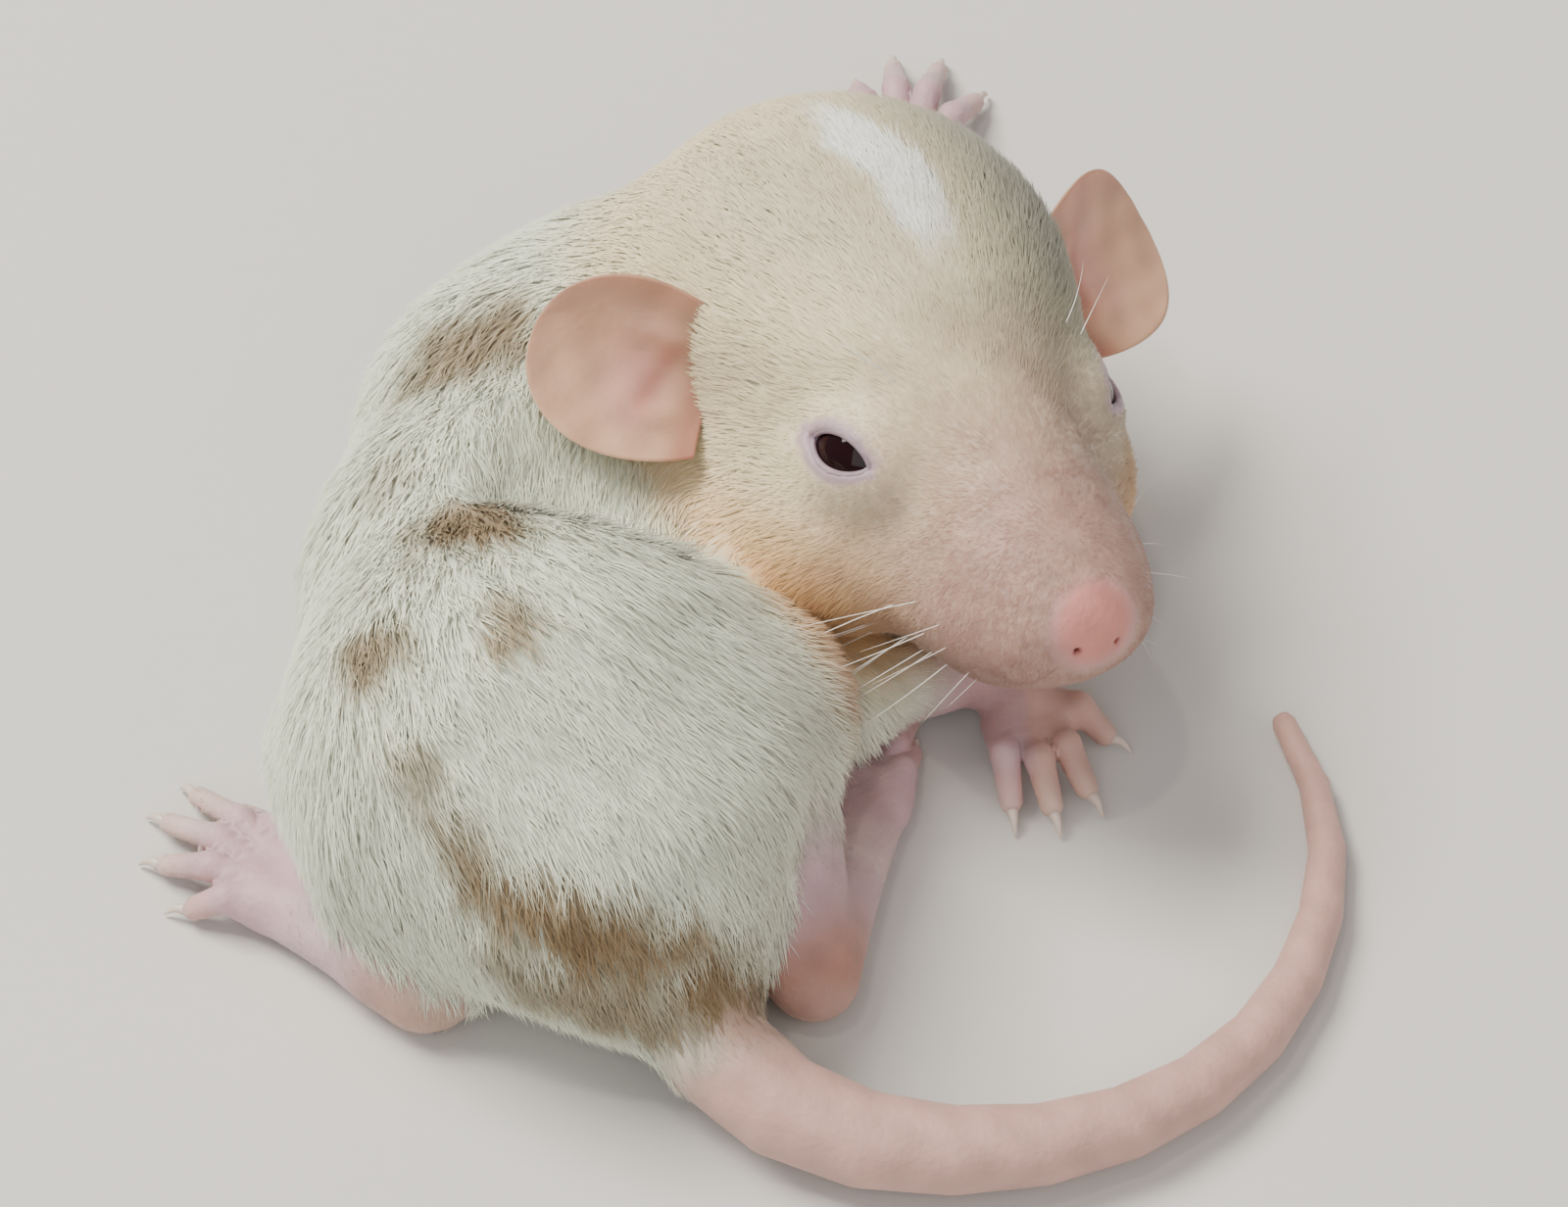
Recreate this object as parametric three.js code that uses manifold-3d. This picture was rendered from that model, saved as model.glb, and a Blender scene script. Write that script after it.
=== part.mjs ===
// A dumbo rat pup about two weeks old, lying curled to its right with its head raised.
// Millimetres, +Z up. The floor is z = 0 and the group's origin is the middle of the model's base.
import * as THREE from "three";
import { mergeVertices } from "three/addons/utils/BufferGeometryUtils.js";
import Module from "manifold-3d";

const wasm = await Module();
wasm.setup();

// Driving sizes
const GAP = 0.3; // between neighbouring pieces
const EYE_RADIUS = 2.3;
const EYE_DEPTH = 1.95; // from the lid opening in to the middle of the ball
const LID_LENGTH = 3.7;
const LID_OPENING = 1.75;
const LID_THICKNESS = 0.34;
const EAR_LENGTH = 8.6;
const EAR_WIDTH = 7.9;
const EAR_WIDEST = 0.5; // where along it, as a share of its length
const EAR_CUP = 2.1;
const EAR_THICKNESS = 0.7;
const TAIL_BASE_RADIUS = 2.7;
const TAIL_TIP_RADIUS = 0.6;
const EYE_SLANT = 0.08;
const TOE_RADIUS = 0.78;
const CLAW_LENGTH = 1.1;
const TAIL_STUB = 6;
const CELL = { head: 1.52, trunk: 2.1, limb: 1.4, foot: 1.14 };

// Colours of the coat and of the bare skin
const CREAM = 0xded3ba;
const WHITE_COAT = 0xe6e6da;
const PINK_SKIN = 0xd9a9a0;
const EYE_BLACK = 0x1c0d10;

const V = (x, y, z) => new THREE.Vector3(x, y, z);

// Where the left ear is joined to the head, and which way each ear lies, in the head's frame.
// The right ear's root is the left one's, mirrored.
const EAR_ROOT = V(-0.3, 8.8, 2.1);
const EAR_ALONG = { left: V(-0.62, 0.9, 0.1), right: V(-0.46, -0.83, 0.3) };
const EAR_FACING = V(0.745, 0.426, 0.513);
const EAR_HOLLOW = { forward: 2.8, radii: V(8.6, 8.2, 4.6) };

// Where the body lies, as if the tip of the nose were above the origin

const NOSE_TIP = V(0, -1.3, 14.9);
const HEAD_FORWARD = V(0.488, -0.827, 0.279).normalize();
const HEAD_LEFT = V(0.873, 0.456, -0.173).normalize();
const HEAD_UP = V().crossVectors(HEAD_FORWARD, HEAD_LEFT).normalize();
HEAD_LEFT.crossVectors(HEAD_UP, HEAD_FORWARD);
const NOSE_IN_HEAD = V(17, 0, -3);

const SPINE = [
  { at: V(-19.5, 20.5, 7.0), r: 7.3 },
  { at: V(-24.0, 16.4, 6.6), r: 8.1 },
  { at: V(-25.4, 6.6, 7.8), r: 8.6 },
  { at: V(-24.0, -3.8, 9.8), r: 10.2 },
  { at: V(-20.6, -8.4, 8.6), r: 7.4 },
  { at: V(-18.6, -11.2, 6.0), r: 3.9 },
];
const BELLY = { at: V(-22.4, 1.5, 7.6), radii: V(9.6, 10.5, 7.7) };
const NECK = [
  { at: V(-20, 20, 7.2), r: 7.6 },
  { at: V(-12.5, 21.6, 10.6), r: 7.8 },
];

const LEGS = {
  hind_right: {
    soft: 2.6,
    hip: { at: V(-18.2, -3.6, 10.2), r: 6.3 },
    knee: { at: V(-15.0, -0.6, 8.4), r: 4.9 },
    ankle: { at: V(-12.6, -8.6, 3.6), r: 2.3 },
    heel: { at: V(-12.0, -10.1, 2.2), r: 1.9 },
    ball: { at: V(-9.8, 0.6, 1.4), r: 1.3 },
  },
  hind_left: {
    soft: 2.6,
    hip: { at: V(-25, -5, 8.5), r: 6.5 },
    knee: { at: V(-31, -1.5, 6), r: 4.6 },
    ankle: { at: V(-29.8, -8.8, 3.1), r: 2.9 },
    heel: { at: V(-28.6, -10.4, 2.4), r: 2.3 },
    ball: { at: V(-35.6, -4.4, 1.5), r: 1.35 },
  },
  fore_right: {
    soft: 2.2,
    hip: { at: V(-16.4, 11.4, 6.6), r: 4.8 },
    knee: { at: V(-11.2, 3.6, 4.6), r: 3.0 },
    ankle: { at: V(-4.0, 6.6, 2.8), r: 1.55 },
    heel: { at: V(-3.3, 6.0, 2.4), r: 1.4 },
    ball: { at: V(-2.1, 3.9, 1.6), r: 1.15 },
  },
  fore_left: {
    soft: 2.2,
    hip: { at: V(-20, 19, 8.4), r: 4.8 },
    knee: { at: V(-15.6, 28.8, 5.4), r: 2.8 },
    ankle: { at: V(-8.9, 37.6, 2.7), r: 1.6 },
    heel: { at: V(-8.4, 38.4, 2.3), r: 1.45 },
    ball: { at: V(-7.2, 41.0, 1.6), r: 1.2 },
  },
};

const LEG_PARTS = {
  hind_right: ["thigh_right", "shank_right", "hind_foot_right"],
  hind_left: ["thigh_left", "shank_left", "hind_foot_left"],
  fore_right: ["upper_arm_right", "forearm_right", "forepaw_right"],
  fore_left: ["upper_arm_left", "forearm_left", "forepaw_left"],
};

// Toe tips, from the inner toe to the outer one
const TOES = {
  hind_right: [V(-7.6, 3.0, 0.9), V(-7.6, 5.0, 0.9), V(-8.6, 5.8, 0.9), V(-9.8, 5.6, 0.9), V(-11.2, 3.6, 0.9)],
  hind_left: [
    V(-37.2, -0.4, 0.9),
    V(-39.2, 0.6, 0.9),
    V(-40.4, -0.9, 0.9),
    V(-40.4, -3.2, 0.9),
    V(-39.0, -5.6, 0.9),
  ],
  fore_right: [V(1.1, 4.2, 0.9), V(0.2, 1.1, 0.9), V(-1.4, 0.1, 0.9), V(-3.2, 0.3, 0.9)],
  fore_left: [V(-9.6, 45.0, 0.9), V(-7.8, 46.6, 0.9), V(-5.6, 46.4, 0.9), V(-3.8, 44.2, 0.9)],
};

const TAIL_ROUTE = [
  V(-17.8, -12.0, 5.2),
  V(-15.6, -15.8, 3.6),
  V(-10.6, -18.8, 2.8),
  V(-3.8, -19.2, 2.4),
  V(2.4, -17.0, 2.0),
  V(7.2, -12.6, 1.6),
  V(10.0, -6.6, 1.3),
  V(10.6, -0.4, 1.0),
  V(9.2, 4.8, 0.8),
];
const TAIL_LENGTHS = 5;

// Fields: a function of x, y and z that is negative inside a form and grows by about 1 a millimetre

function taperedRod(from, to) {
  const ax = from.at.x, ay = from.at.y, az = from.at.z;
  const dx = to.at.x - ax, dy = to.at.y - ay, dz = to.at.z - az;
  const squared = dx * dx + dy * dy + dz * dz;
  return (x, y, z) => {
    const t = Math.min(1, Math.max(0, ((x - ax) * dx + (y - ay) * dy + (z - az) * dz) / squared));
    const ex = x - ax - t * dx, ey = y - ay - t * dy, ez = z - az - t * dz;
    return Math.sqrt(ex * ex + ey * ey + ez * ez) - (from.r + t * (to.r - from.r));
  };
}

function ellipsoid({ at, radii }) {
  return (x, y, z) => {
    const px = (x - at.x) / radii.x, py = (y - at.y) / radii.y, pz = (z - at.z) / radii.z;
    const k0 = Math.hypot(px, py, pz);
    const k1 = Math.hypot(px / radii.x, py / radii.y, pz / radii.z);
    return k1 < 1e-9 ? -Math.min(radii.x, radii.y, radii.z) : (k0 * (k0 - 1)) / k1;
  };
}

function softMin(a, b, k) {
  const h = Math.max(k - Math.abs(a - b), 0) / k;
  return Math.min(a, b) - (h * h * k) / 4;
}

const blend = (k, ...fields) => (x, y, z) => {
  let d = fields[0](x, y, z);
  for (let i = 1; i < fields.length; i += 1) d = softMin(d, fields[i](x, y, z), k);
  return d;
};

const union = (...fields) => (x, y, z) => {
  let d = Infinity;
  for (const f of fields) d = Math.min(d, f(x, y, z));
  return d;
};

// How far a point is past the surface halfway between two forms, towards the second one
function nearerTo(own, other) {
  const step = 0.05;
  const diff = (x, y, z) => own(x, y, z) - other(x, y, z);
  return (x, y, z) => {
    const d = diff(x, y, z);
    if (Math.abs(d) > 5) return d / 2 + GAP / 2;
    const gx = diff(x + step, y, z) - d, gy = diff(x, y + step, z) - d, gz = diff(x, y, z + step) - d;
    const slope = Math.hypot(gx, gy, gz) / step;
    return d / Math.max(slope, 0.4) + GAP / 2;
  };
}

// Head, in its own frame: x forward, y left, z up, from the middle of the skull

const headFrame = new THREE.Matrix4().makeBasis(HEAD_FORWARD, HEAD_LEFT, HEAD_UP);
headFrame.setPosition(NOSE_TIP.clone().sub(NOSE_IN_HEAD.clone().applyMatrix4(headFrame)));
const toHead = headFrame.clone().invert();

function headField() {
  const sides = [-1, 1];
  const forms = [
    ellipsoid({ at: V(-4.2, 0, 2.5), radii: V(11.2, 9.8, 9.1) }), // skull
    ellipsoid({ at: V(-6.0, 0, -2.8), radii: V(8.2, 8.8, 7.2) }), // back of the jaw
    taperedRod({ at: V(3, 0, 1.6), r: 6.3 }, { at: V(11.0, 0, -2.2), r: 3.8 }), // bridge of the nose
    taperedRod({ at: V(11.2, 0, -2.6), r: 3.4 }, { at: V(14.9, 0, -3.5), r: 2.0 }), // snout
    taperedRod({ at: V(4, 0, -5.6), r: 3.4 }, { at: V(11.4, 0, -6.2), r: 1.5 }), // lower jaw
    ...sides.map((s) => ellipsoid({ at: V(1.2, 4.9 * s, -3.6), radii: V(7.8, 5.1, 5.4) })), // cheeks
    ...sides.map((s) => ellipsoid({ at: V(11.4, 2.1 * s, -4.2), radii: V(4.4, 2.7, 2.6) })), // whisker pads
  ];
  const eyes = sides.map((s) => {
    const { ball } = eyePlace(s);
    const r = EYE_RADIUS + 0.75;
    return taperedRod({ at: ball, r }, { at: V(ball.x, ball.y + 0.01 * s, ball.z), r });
  });
  const local = blend(1.6, blend(3.2, ...forms), ...eyes);
  const e = toHead.elements;
  return (x, y, z) =>
    local(
      e[0] * x + e[4] * y + e[8] * z + e[12],
      e[1] * x + e[5] * y + e[9] * z + e[13],
      e[2] * x + e[6] * y + e[10] * z + e[14],
    );
}

// Which way an ear points, which way its hollow side faces, and the way across it, in the head's frame
function earAxes(s) {
  const along = EAR_ALONG[s > 0 ? "left" : "right"].clone().normalize();
  const facing = EAR_FACING.clone().multiply(V(1, s, 1));
  facing.addScaledVector(along, -facing.dot(along)).normalize();
  return { along, facing, across: V().crossVectors(facing, along) };
}

// Middle of the lid opening, its outward direction and the middle of the ball, in the head's frame
function eyePlace(side) {
  const out = V(0.33, 0.83 * side, 0.45).normalize();
  const opening = V(6.4, 6.6 * side, 1.9);
  return { out, opening, ball: opening.clone().addScaledVector(out, -EYE_DEPTH) };
}

// Closed meshes

// Turns the zero surface of a field into one closed mesh. Each cell of the grid has a vertex for every
// patch of the surface that crosses it. Each edge of the grid that the surface crosses has a face
// between the four cells round it.
function fieldGeometry(field, box, cell) {
  const size = box.getSize(V());
  const [nx, ny, nz] = [size.x, size.y, size.z].map((s) => Math.ceil(s / cell) + 1);
  const value = new Float64Array(nx * ny * nz);
  const at = (i, j, k) => i + nx * (j + ny * k);
  for (let k = 0; k < nz; k += 1)
    for (let j = 0; j < ny; j += 1)
      for (let i = 0; i < nx; i += 1)
        value[at(i, j, k)] = field(box.min.x + i * cell, box.min.y + j * cell, box.min.z + k * cell);

  const corner = (c) => [c & 1, (c >> 1) & 1, (c >> 2) & 1];
  const edges = [];
  for (let axis = 0; axis < 3; axis += 1)
    for (let c = 0; c < 8; c += 1) if (!(c & (1 << axis))) edges.push({ axis, a: c, b: c | (1 << axis) });
  const edgeAt = (axis, c) => edges.findIndex((e) => e.axis === axis && e.a === c);

  const positions = [];
  const patchOf = new Map();
  for (let k = 0; k < nz - 1; k += 1)
    for (let j = 0; j < ny - 1; j += 1)
      for (let i = 0; i < nx - 1; i += 1) {
        const v = [];
        for (let c = 0; c < 8; c += 1) {
          const [dx, dy, dz] = corner(c);
          v.push(value[at(i + dx, j + dy, k + dz)]);
        }
        if (v.every((d) => d < 0) || v.every((d) => d >= 0)) continue;
        const crosses = edges.map((e) => v[e.a] < 0 !== v[e.b] < 0);
        const root = edges.map((_, n) => n);
        const find = (n) => (root[n] === n ? n : find(root[n]));
        for (let axis = 0; axis < 3; axis += 1)
          for (let side = 0; side < 2; side += 1) {
            const onFace = (c) => ((c >> axis) & 1) === side;
            const isCut = (e, n) => crosses[n] && onFace(e.a) && onFace(e.b);
            const cut = edges.map((e, n) => (isCut(e, n) ? n : -1)).filter((n) => n >= 0);
            if (cut.length === 2) root[find(cut[0])] = find(cut[1]);
            if (cut.length === 4)
              for (let c = 0; c < 8; c += 1)
                if (onFace(c) && v[c] < 0) {
                  const [p, q] = cut.filter((n) => edges[n].a === c || edges[n].b === c);
                  root[find(p)] = find(q);
                }
          }
        const sums = new Map();
        edges.forEach((e, n) => {
          if (!crosses[n]) return;
          const t = v[e.a] / (v[e.a] - v[e.b]);
          const a = corner(e.a), b = corner(e.b);
          const s = sums.get(find(n)) ?? { p: [0, 0, 0], count: 0, members: [] };
          for (let x = 0; x < 3; x += 1) s.p[x] += a[x] + t * (b[x] - a[x]);
          s.count += 1;
          s.members.push(n);
          sums.set(find(n), s);
        });
        for (const s of sums.values()) {
          const index = positions.length / 3;
          positions.push(
            box.min.x + (i + s.p[0] / s.count) * cell,
            box.min.y + (j + s.p[1] / s.count) * cell,
            box.min.z + (k + s.p[2] / s.count) * cell,
          );
          for (const n of s.members) patchOf.set(at(i, j, k) * 12 + n, index);
        }
      }

  const faces = [];
  for (let k = 0; k < nz - 1; k += 1)
    for (let j = 0; j < ny - 1; j += 1)
      for (let i = 0; i < nx - 1; i += 1)
        for (let axis = 0; axis < 3; axis += 1) {
          const next = [i, j, k];
          const [p, q] = [(axis + 1) % 3, (axis + 2) % 3];
          if (next[p] === 0 || next[q] === 0) continue;
          next[axis] += 1;
          const here = value[at(i, j, k)] < 0;
          if (here === value[at(...next)] < 0) continue;
          const ring = [[0, 0], [1, 0], [1, 1], [0, 1]].map(([dp, dq]) => {
            const c = [i, j, k];
            c[p] -= dp;
            c[q] -= dq;
            return patchOf.get(at(...c) * 12 + edgeAt(axis, (dp << p) | (dq << q)));
          });
          if (!here) ring.reverse();
          faces.push(ring[0], ring[1], ring[2], ring[0], ring[2], ring[3]);
        }
  const geometry = new THREE.BufferGeometry();
  geometry.setAttribute("position", new THREE.Float32BufferAttribute(positions, 3));
  geometry.setIndex(faces);
  return geometry;
}

function solid(geometry) {
  const bare = geometry.clone();
  for (const name of Object.keys(bare.attributes)) if (name !== "position") bare.deleteAttribute(name);
  const merged = mergeVertices(bare, 1e-5);
  const mesh = new wasm.Mesh({
    numProp: 3,
    vertProperties: new Float32Array(merged.attributes.position.array),
    triVerts: new Uint32Array(merged.index.array),
  });
  return new wasm.Manifold(mesh);
}

// Joins extra pieces to a solid, cuts others out of it and keeps its largest closed body
function shaped(base, { add = [], cut = [] }) {
  let made = base;
  for (const piece of add) made = made.add(piece);
  for (const piece of cut) made = made.subtract(piece);
  return made;
}

function geometryOf(manifold) {
  const mesh = manifold.getMesh();
  const geometry = new THREE.BufferGeometry();
  geometry.setAttribute("position", new THREE.BufferAttribute(new Float32Array(mesh.vertProperties), 3));
  geometry.setIndex(new THREE.BufferAttribute(new Uint32Array(mesh.triVerts), 1));
  geometry.computeVertexNormals();
  return geometry;
}

// A round rod along a curve whose radius follows a function of 0 to 1, with a pole at each end
function rod(curve, radiusAt, steps, sides, rounded = 0.5) {
  const frames = curve.computeFrenetFrames(steps, curve.closed === true);
  const positions = [];
  const push = (p) => positions.push(p.x, p.y, Math.max(p.z, 0));
  push(curve.getPointAt(0).addScaledVector(frames.tangents[0], -radiusAt(0) * rounded));
  for (let i = 0; i <= steps; i += 1) {
    const middle = curve.getPointAt(i / steps);
    const r = radiusAt(i / steps);
    for (let j = 0; j < sides; j += 1) {
      const a = (2 * Math.PI * j) / sides;
      push(
        middle
          .clone()
          .addScaledVector(frames.normals[i], r * Math.cos(a))
          .addScaledVector(frames.binormals[i], r * Math.sin(a)),
      );
    }
  }
  push(curve.getPointAt(1).addScaledVector(frames.tangents[steps], radiusAt(1) * rounded));
  const last = positions.length / 3 - 1;
  const faces = [];
  for (let j = 0; j < sides; j += 1) {
    const k = (j + 1) % sides;
    faces.push(0, 1 + k, 1 + j);
    for (let i = 0; i < steps; i += 1) {
      const a = 1 + i * sides, b = a + sides;
      faces.push(a + j, a + k, b + k, a + j, b + k, b + j);
    }
    faces.push(last, last - sides + j, last - sides + k);
  }
  const geometry = new THREE.BufferGeometry();
  geometry.setAttribute("position", new THREE.Float32BufferAttribute(positions, 3));
  geometry.setIndex(faces);
  return geometry;
}

// A ring of round section along a closed loop of points
function ringRod(points, radius, sides) {
  const curve = new THREE.CatmullRomCurve3(points, true);
  const steps = points.length;
  const frames = curve.computeFrenetFrames(steps, true);
  const positions = [];
  for (let i = 0; i < steps; i += 1) {
    const middle = curve.getPointAt(i / steps);
    for (let j = 0; j < sides; j += 1) {
      const a = (2 * Math.PI * j) / sides;
      const p = middle
        .clone()
        .addScaledVector(frames.normals[i], radius * Math.cos(a))
        .addScaledVector(frames.binormals[i], radius * Math.sin(a));
      positions.push(p.x, p.y, p.z);
    }
  }
  const faces = [];
  for (let i = 0; i < steps; i += 1)
    for (let j = 0; j < sides; j += 1) {
      const k = (j + 1) % sides;
      const a = i * sides, b = ((i + 1) % steps) * sides;
      faces.push(a + j, a + k, b + k, a + j, b + k, b + j);
    }
  const geometry = new THREE.BufferGeometry();
  geometry.setAttribute("position", new THREE.Float32BufferAttribute(positions, 3));
  geometry.setIndex(faces);
  return geometry;
}

// Flesh: every form, the smooth whole, and where one named part ends and the next begins

const chain = (items, k) => blend(k, ...items.slice(1).map((item, i) => taperedRod(items[i], item)));

// Two rods side by side, flat on the floor
function footField({ heel, ball }) {
  const along = ball.at.clone().sub(heel.at).setZ(0).normalize();
  const across = V(-along.y, along.x, 0);
  const rails = [-1, 1].map((s) =>
    taperedRod(heel, { at: ball.at.clone().addScaledVector(across, s * ball.r * 0.75), r: ball.r }),
  );
  return blend(0.8, ...rails);
}

const tailCurve = new THREE.CatmullRomCurve3(TAIL_ROUTE);
const tailRadius = (t) => TAIL_BASE_RADIUS + (TAIL_TIP_RADIUS - TAIL_BASE_RADIUS) * t ** 0.85;
const tailCut = TAIL_STUB / tailCurve.getLength();
const tailStub = chain(
  [0, 0.5, 1, 1.5].map((n) => ({ at: tailCurve.getPointAt(n * tailCut), r: tailRadius(n * tailCut) })),
  0.5,
);

// A form with the shallow hollow taken out of it in which the right ear stands
function hollowed(form) {
  const { along, facing, across } = earAxes(-1);
  const e = toHead.elements;
  const { forward, radii } = EAR_HOLLOW;
  const middle = EAR_ROOT.clone().multiply(V(1, -1, 1)).addScaledVector(along, EAR_LENGTH / 2);
  middle.addScaledVector(facing, forward);
  const lens = ellipsoid({ at: V(), radii });
  return (x, y, z) => {
    const d = form(x, y, z);
    if (d > 4) return d;
    const h = V(
      e[0] * x + e[4] * y + e[8] * z + e[12] - middle.x,
      e[1] * x + e[5] * y + e[9] * z + e[13] - middle.y,
      e[2] * x + e[6] * y + e[10] * z + e[14] - middle.z,
    );
    if (h.lengthSq() > 200) return d;
    return -softMin(-d, lens(h.dot(along), h.dot(across), h.dot(facing)), 1.2);
  };
}

const forms = {
  head: headField(),
  neck: hollowed(chain(NECK, 2)),
  trunk: hollowed(blend(2, chain(SPINE, 3), ellipsoid(BELLY), tailStub)),
};
const limbs = Object.entries(LEGS).map(([name, leg]) => {
  const names = LEG_PARTS[name];
  const begin = { at: leg.knee.at, r: leg.knee.r * 0.84 };
  const upperForm = taperedRod(leg.hip, leg.knee);
  forms[names[0]] = name === "fore_right" ? hollowed(upperForm) : upperForm;
  forms[names[1]] = taperedRod(begin, leg.ankle);
  forms[names[2]] = footField(leg);
  const upper = blend(1.2, forms[names[0]], forms[names[1]]);
  return { names, soft: leg.soft, whole: blend(0.9, upper, forms[names[2]]) };
});

const torso = blend(4, forms.trunk, forms.neck);
const whole = union(
  blend(3, torso, forms.head),
  ...limbs.map((limb) => blend(limb.soft, torso, limb.whole)),
);
const flesh = (x, y, z) => Math.max(whole(x, y, z), -z);

const spineCuts = {
  chestLoin: { point: V(-24, 4.4, 11), normal: V(0.12, -1, 0) },
  loinRump: { point: V(-22.6, -5.4, 10.4), normal: V(0.5, -0.85, -0.15) },
  rumpTail: { point: tailCurve.getPointAt(tailCut), normal: tailCurve.getTangentAt(tailCut) },
};

// The half of space before or after a cut, short of it by half the gap
function side({ point, normal }, after) {
  const n = normal.clone().normalize().multiplyScalar(after ? -1 : 1);
  const offset = n.dot(point) - GAP / 2;
  return (x, y, z) => n.x * x + n.y * y + n.z * z - offset;
}

const before = (cut) => side(spineCuts[cut], false);
const after = (cut) => side(spineCuts[cut], true);

// One named part of the flesh: the whole, kept where this form is nearer than every other
function fleshPart(form, cell, sides = []) {
  const limits = Object.keys(forms)
    .filter((name) => name !== form)
    .map((name) => nearerTo(forms[form], forms[name]));
  return (x, y, z) => {
    let d = flesh(x, y, z);
    if (d > 2 * cell) return d;
    for (const limit of [...sides, ...limits]) {
      d = Math.max(d, limit(x, y, z));
      if (d > 2 * cell) return d;
    }
    return d;
  };
}

const BODY_BOX = new THREE.Box3(V(-48, -26, -1.2), V(14, 56, 30));

// The grid box round the points where a field is negative, found on a coarse grid
function boxAround(field, cell) {
  const step = 1.3;
  const found = new THREE.Box3();
  for (let x = BODY_BOX.min.x; x < BODY_BOX.max.x; x += step)
    for (let y = BODY_BOX.min.y; y < BODY_BOX.max.y; y += step)
      for (let z = 0.2; z < BODY_BOX.max.z; z += step) if (field(x, y, z) < 0.4) found.expandByPoint(V(x, y, z));
  found.expandByScalar(2 * step + cell);
  return found;
}

function meshedPart(form, cell, sides) {
  const field = fleshPart(form, cell, sides);
  const box = boxAround(field, cell);
  // The floor lies halfway between two levels of grid points, so that flats come out level
  box.min.z = -cell * 0.5;
  return gridded(field, box, cell);
}

// Two patches can meet along one edge where a form is as thin as a cell: the grid then moves a little
function gridded(field, box, cell) {
  for (let attempt = 0; attempt < 8; attempt += 1) {
    try {
      return solid(fieldGeometry(field, box, cell));
    } catch {
      box.min.x -= cell * 0.13;
      box.min.y -= cell * 0.21;
    }
  }
  throw new Error("No grid gives a closed mesh");
}

// Pieces joined to the flesh or cut out of it

// Where a ray from inside the head comes out of it, lifted by a small amount
function onHead(from, direction, lift = 0) {
  const d = direction.clone().normalize();
  let near = 0, far = 24;
  for (let i = 0; i < 30; i += 1) {
    const middle = (near + far) / 2;
    const p = from.clone().addScaledVector(d, middle).applyMatrix4(headFrame);
    if (forms.head(p.x, p.y, p.z) < 0) near = middle;
    else far = middle;
  }
  return from.clone().addScaledVector(d, near + lift).applyMatrix4(headFrame);
}

// The frame of one eye opening: outwards, along it from the rear corner to the front one, and upwards
function eyeFrame(s) {
  const { out, ball } = eyePlace(s);
  const along = V(1, 0, 0).addScaledVector(out, -out.x).normalize();
  const up = V().crossVectors(out, along).multiplyScalar(-s).normalize();
  along.addScaledVector(up, EYE_SLANT).normalize();
  up.crossVectors(out, along).multiplyScalar(-s).normalize();
  return { out, along, up, ball };
}

// The outline of the opening between the lids, at a distance from the middle of the ball
function lidOutline(s, distance, count, grow = 0) {
  const { out, along, up, ball } = eyeFrame(s);
  return Array.from({ length: count }, (_, i) => {
    const a = (2 * Math.PI * i) / count;
    const x = (LID_LENGTH / 2 + grow) * Math.cos(a);
    const y = (LID_OPENING / 2 + grow) * Math.sin(a) * Math.abs(Math.sin(a)) ** 0.4;
    const direction = out
      .clone()
      .multiplyScalar(EYE_RADIUS)
      .addScaledVector(along, x)
      .addScaledVector(up, y)
      .normalize();
    return ball.clone().addScaledVector(direction, distance);
  });
}

// A closed solid between two rings of the same number of points
function between(inner, outer) {
  const n = inner.length;
  const positions = [];
  for (const ring of [inner, outer]) {
    const middle = ring.reduce((sum, p) => sum.add(p), V()).divideScalar(n);
    for (const p of [...ring, middle]) positions.push(p.x, p.y, p.z);
  }
  const faces = [];
  for (let i = 0; i < n; i += 1) {
    const j = (i + 1) % n;
    const a = i, b = j, c = n + 1 + i, d = n + 1 + j;
    faces.push(a, b, d, a, d, c, n, b, a, 2 * n + 1, c, d);
  }
  const geometry = new THREE.BufferGeometry();
  geometry.setAttribute("position", new THREE.Float32BufferAttribute(positions, 3));
  geometry.setIndex(faces);
  return outwards(geometry);
}

// Turns a closed geometry's faces round if they point inwards
function outwards(geometry) {
  const p = geometry.attributes.position.array;
  const f = geometry.index.array;
  let volume = 0;
  for (let i = 0; i < f.length; i += 3) {
    const [a, b, c] = [f[i], f[i + 1], f[i + 2]].map((n) => V(p[3 * n], p[3 * n + 1], p[3 * n + 2]));
    volume += a.dot(b.cross(c));
  }
  if (volume < 0) for (let i = 0; i < f.length; i += 3) [f[i], f[i + 1]] = [f[i + 1], f[i]];
  return geometry;
}

const placed = (points) => points.map((p) => p.applyMatrix4(headFrame));
const rodThrough = (points, radius, steps, sides) =>
  solid(outwards(rod(new THREE.CatmullRomCurve3(points), () => radius, steps, sides)));

const eyeBalls = Object.fromEntries([1, -1].map((s) => [s, eyePlace(s).ball.clone().applyMatrix4(headFrame)]));
const ballGeometry = (s, r, across) => {
  const { x, y, z } = eyeBalls[s];
  return new THREE.SphereGeometry(r, across, Math.round(across * 0.7)).translate(x, y, z);
};

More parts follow.
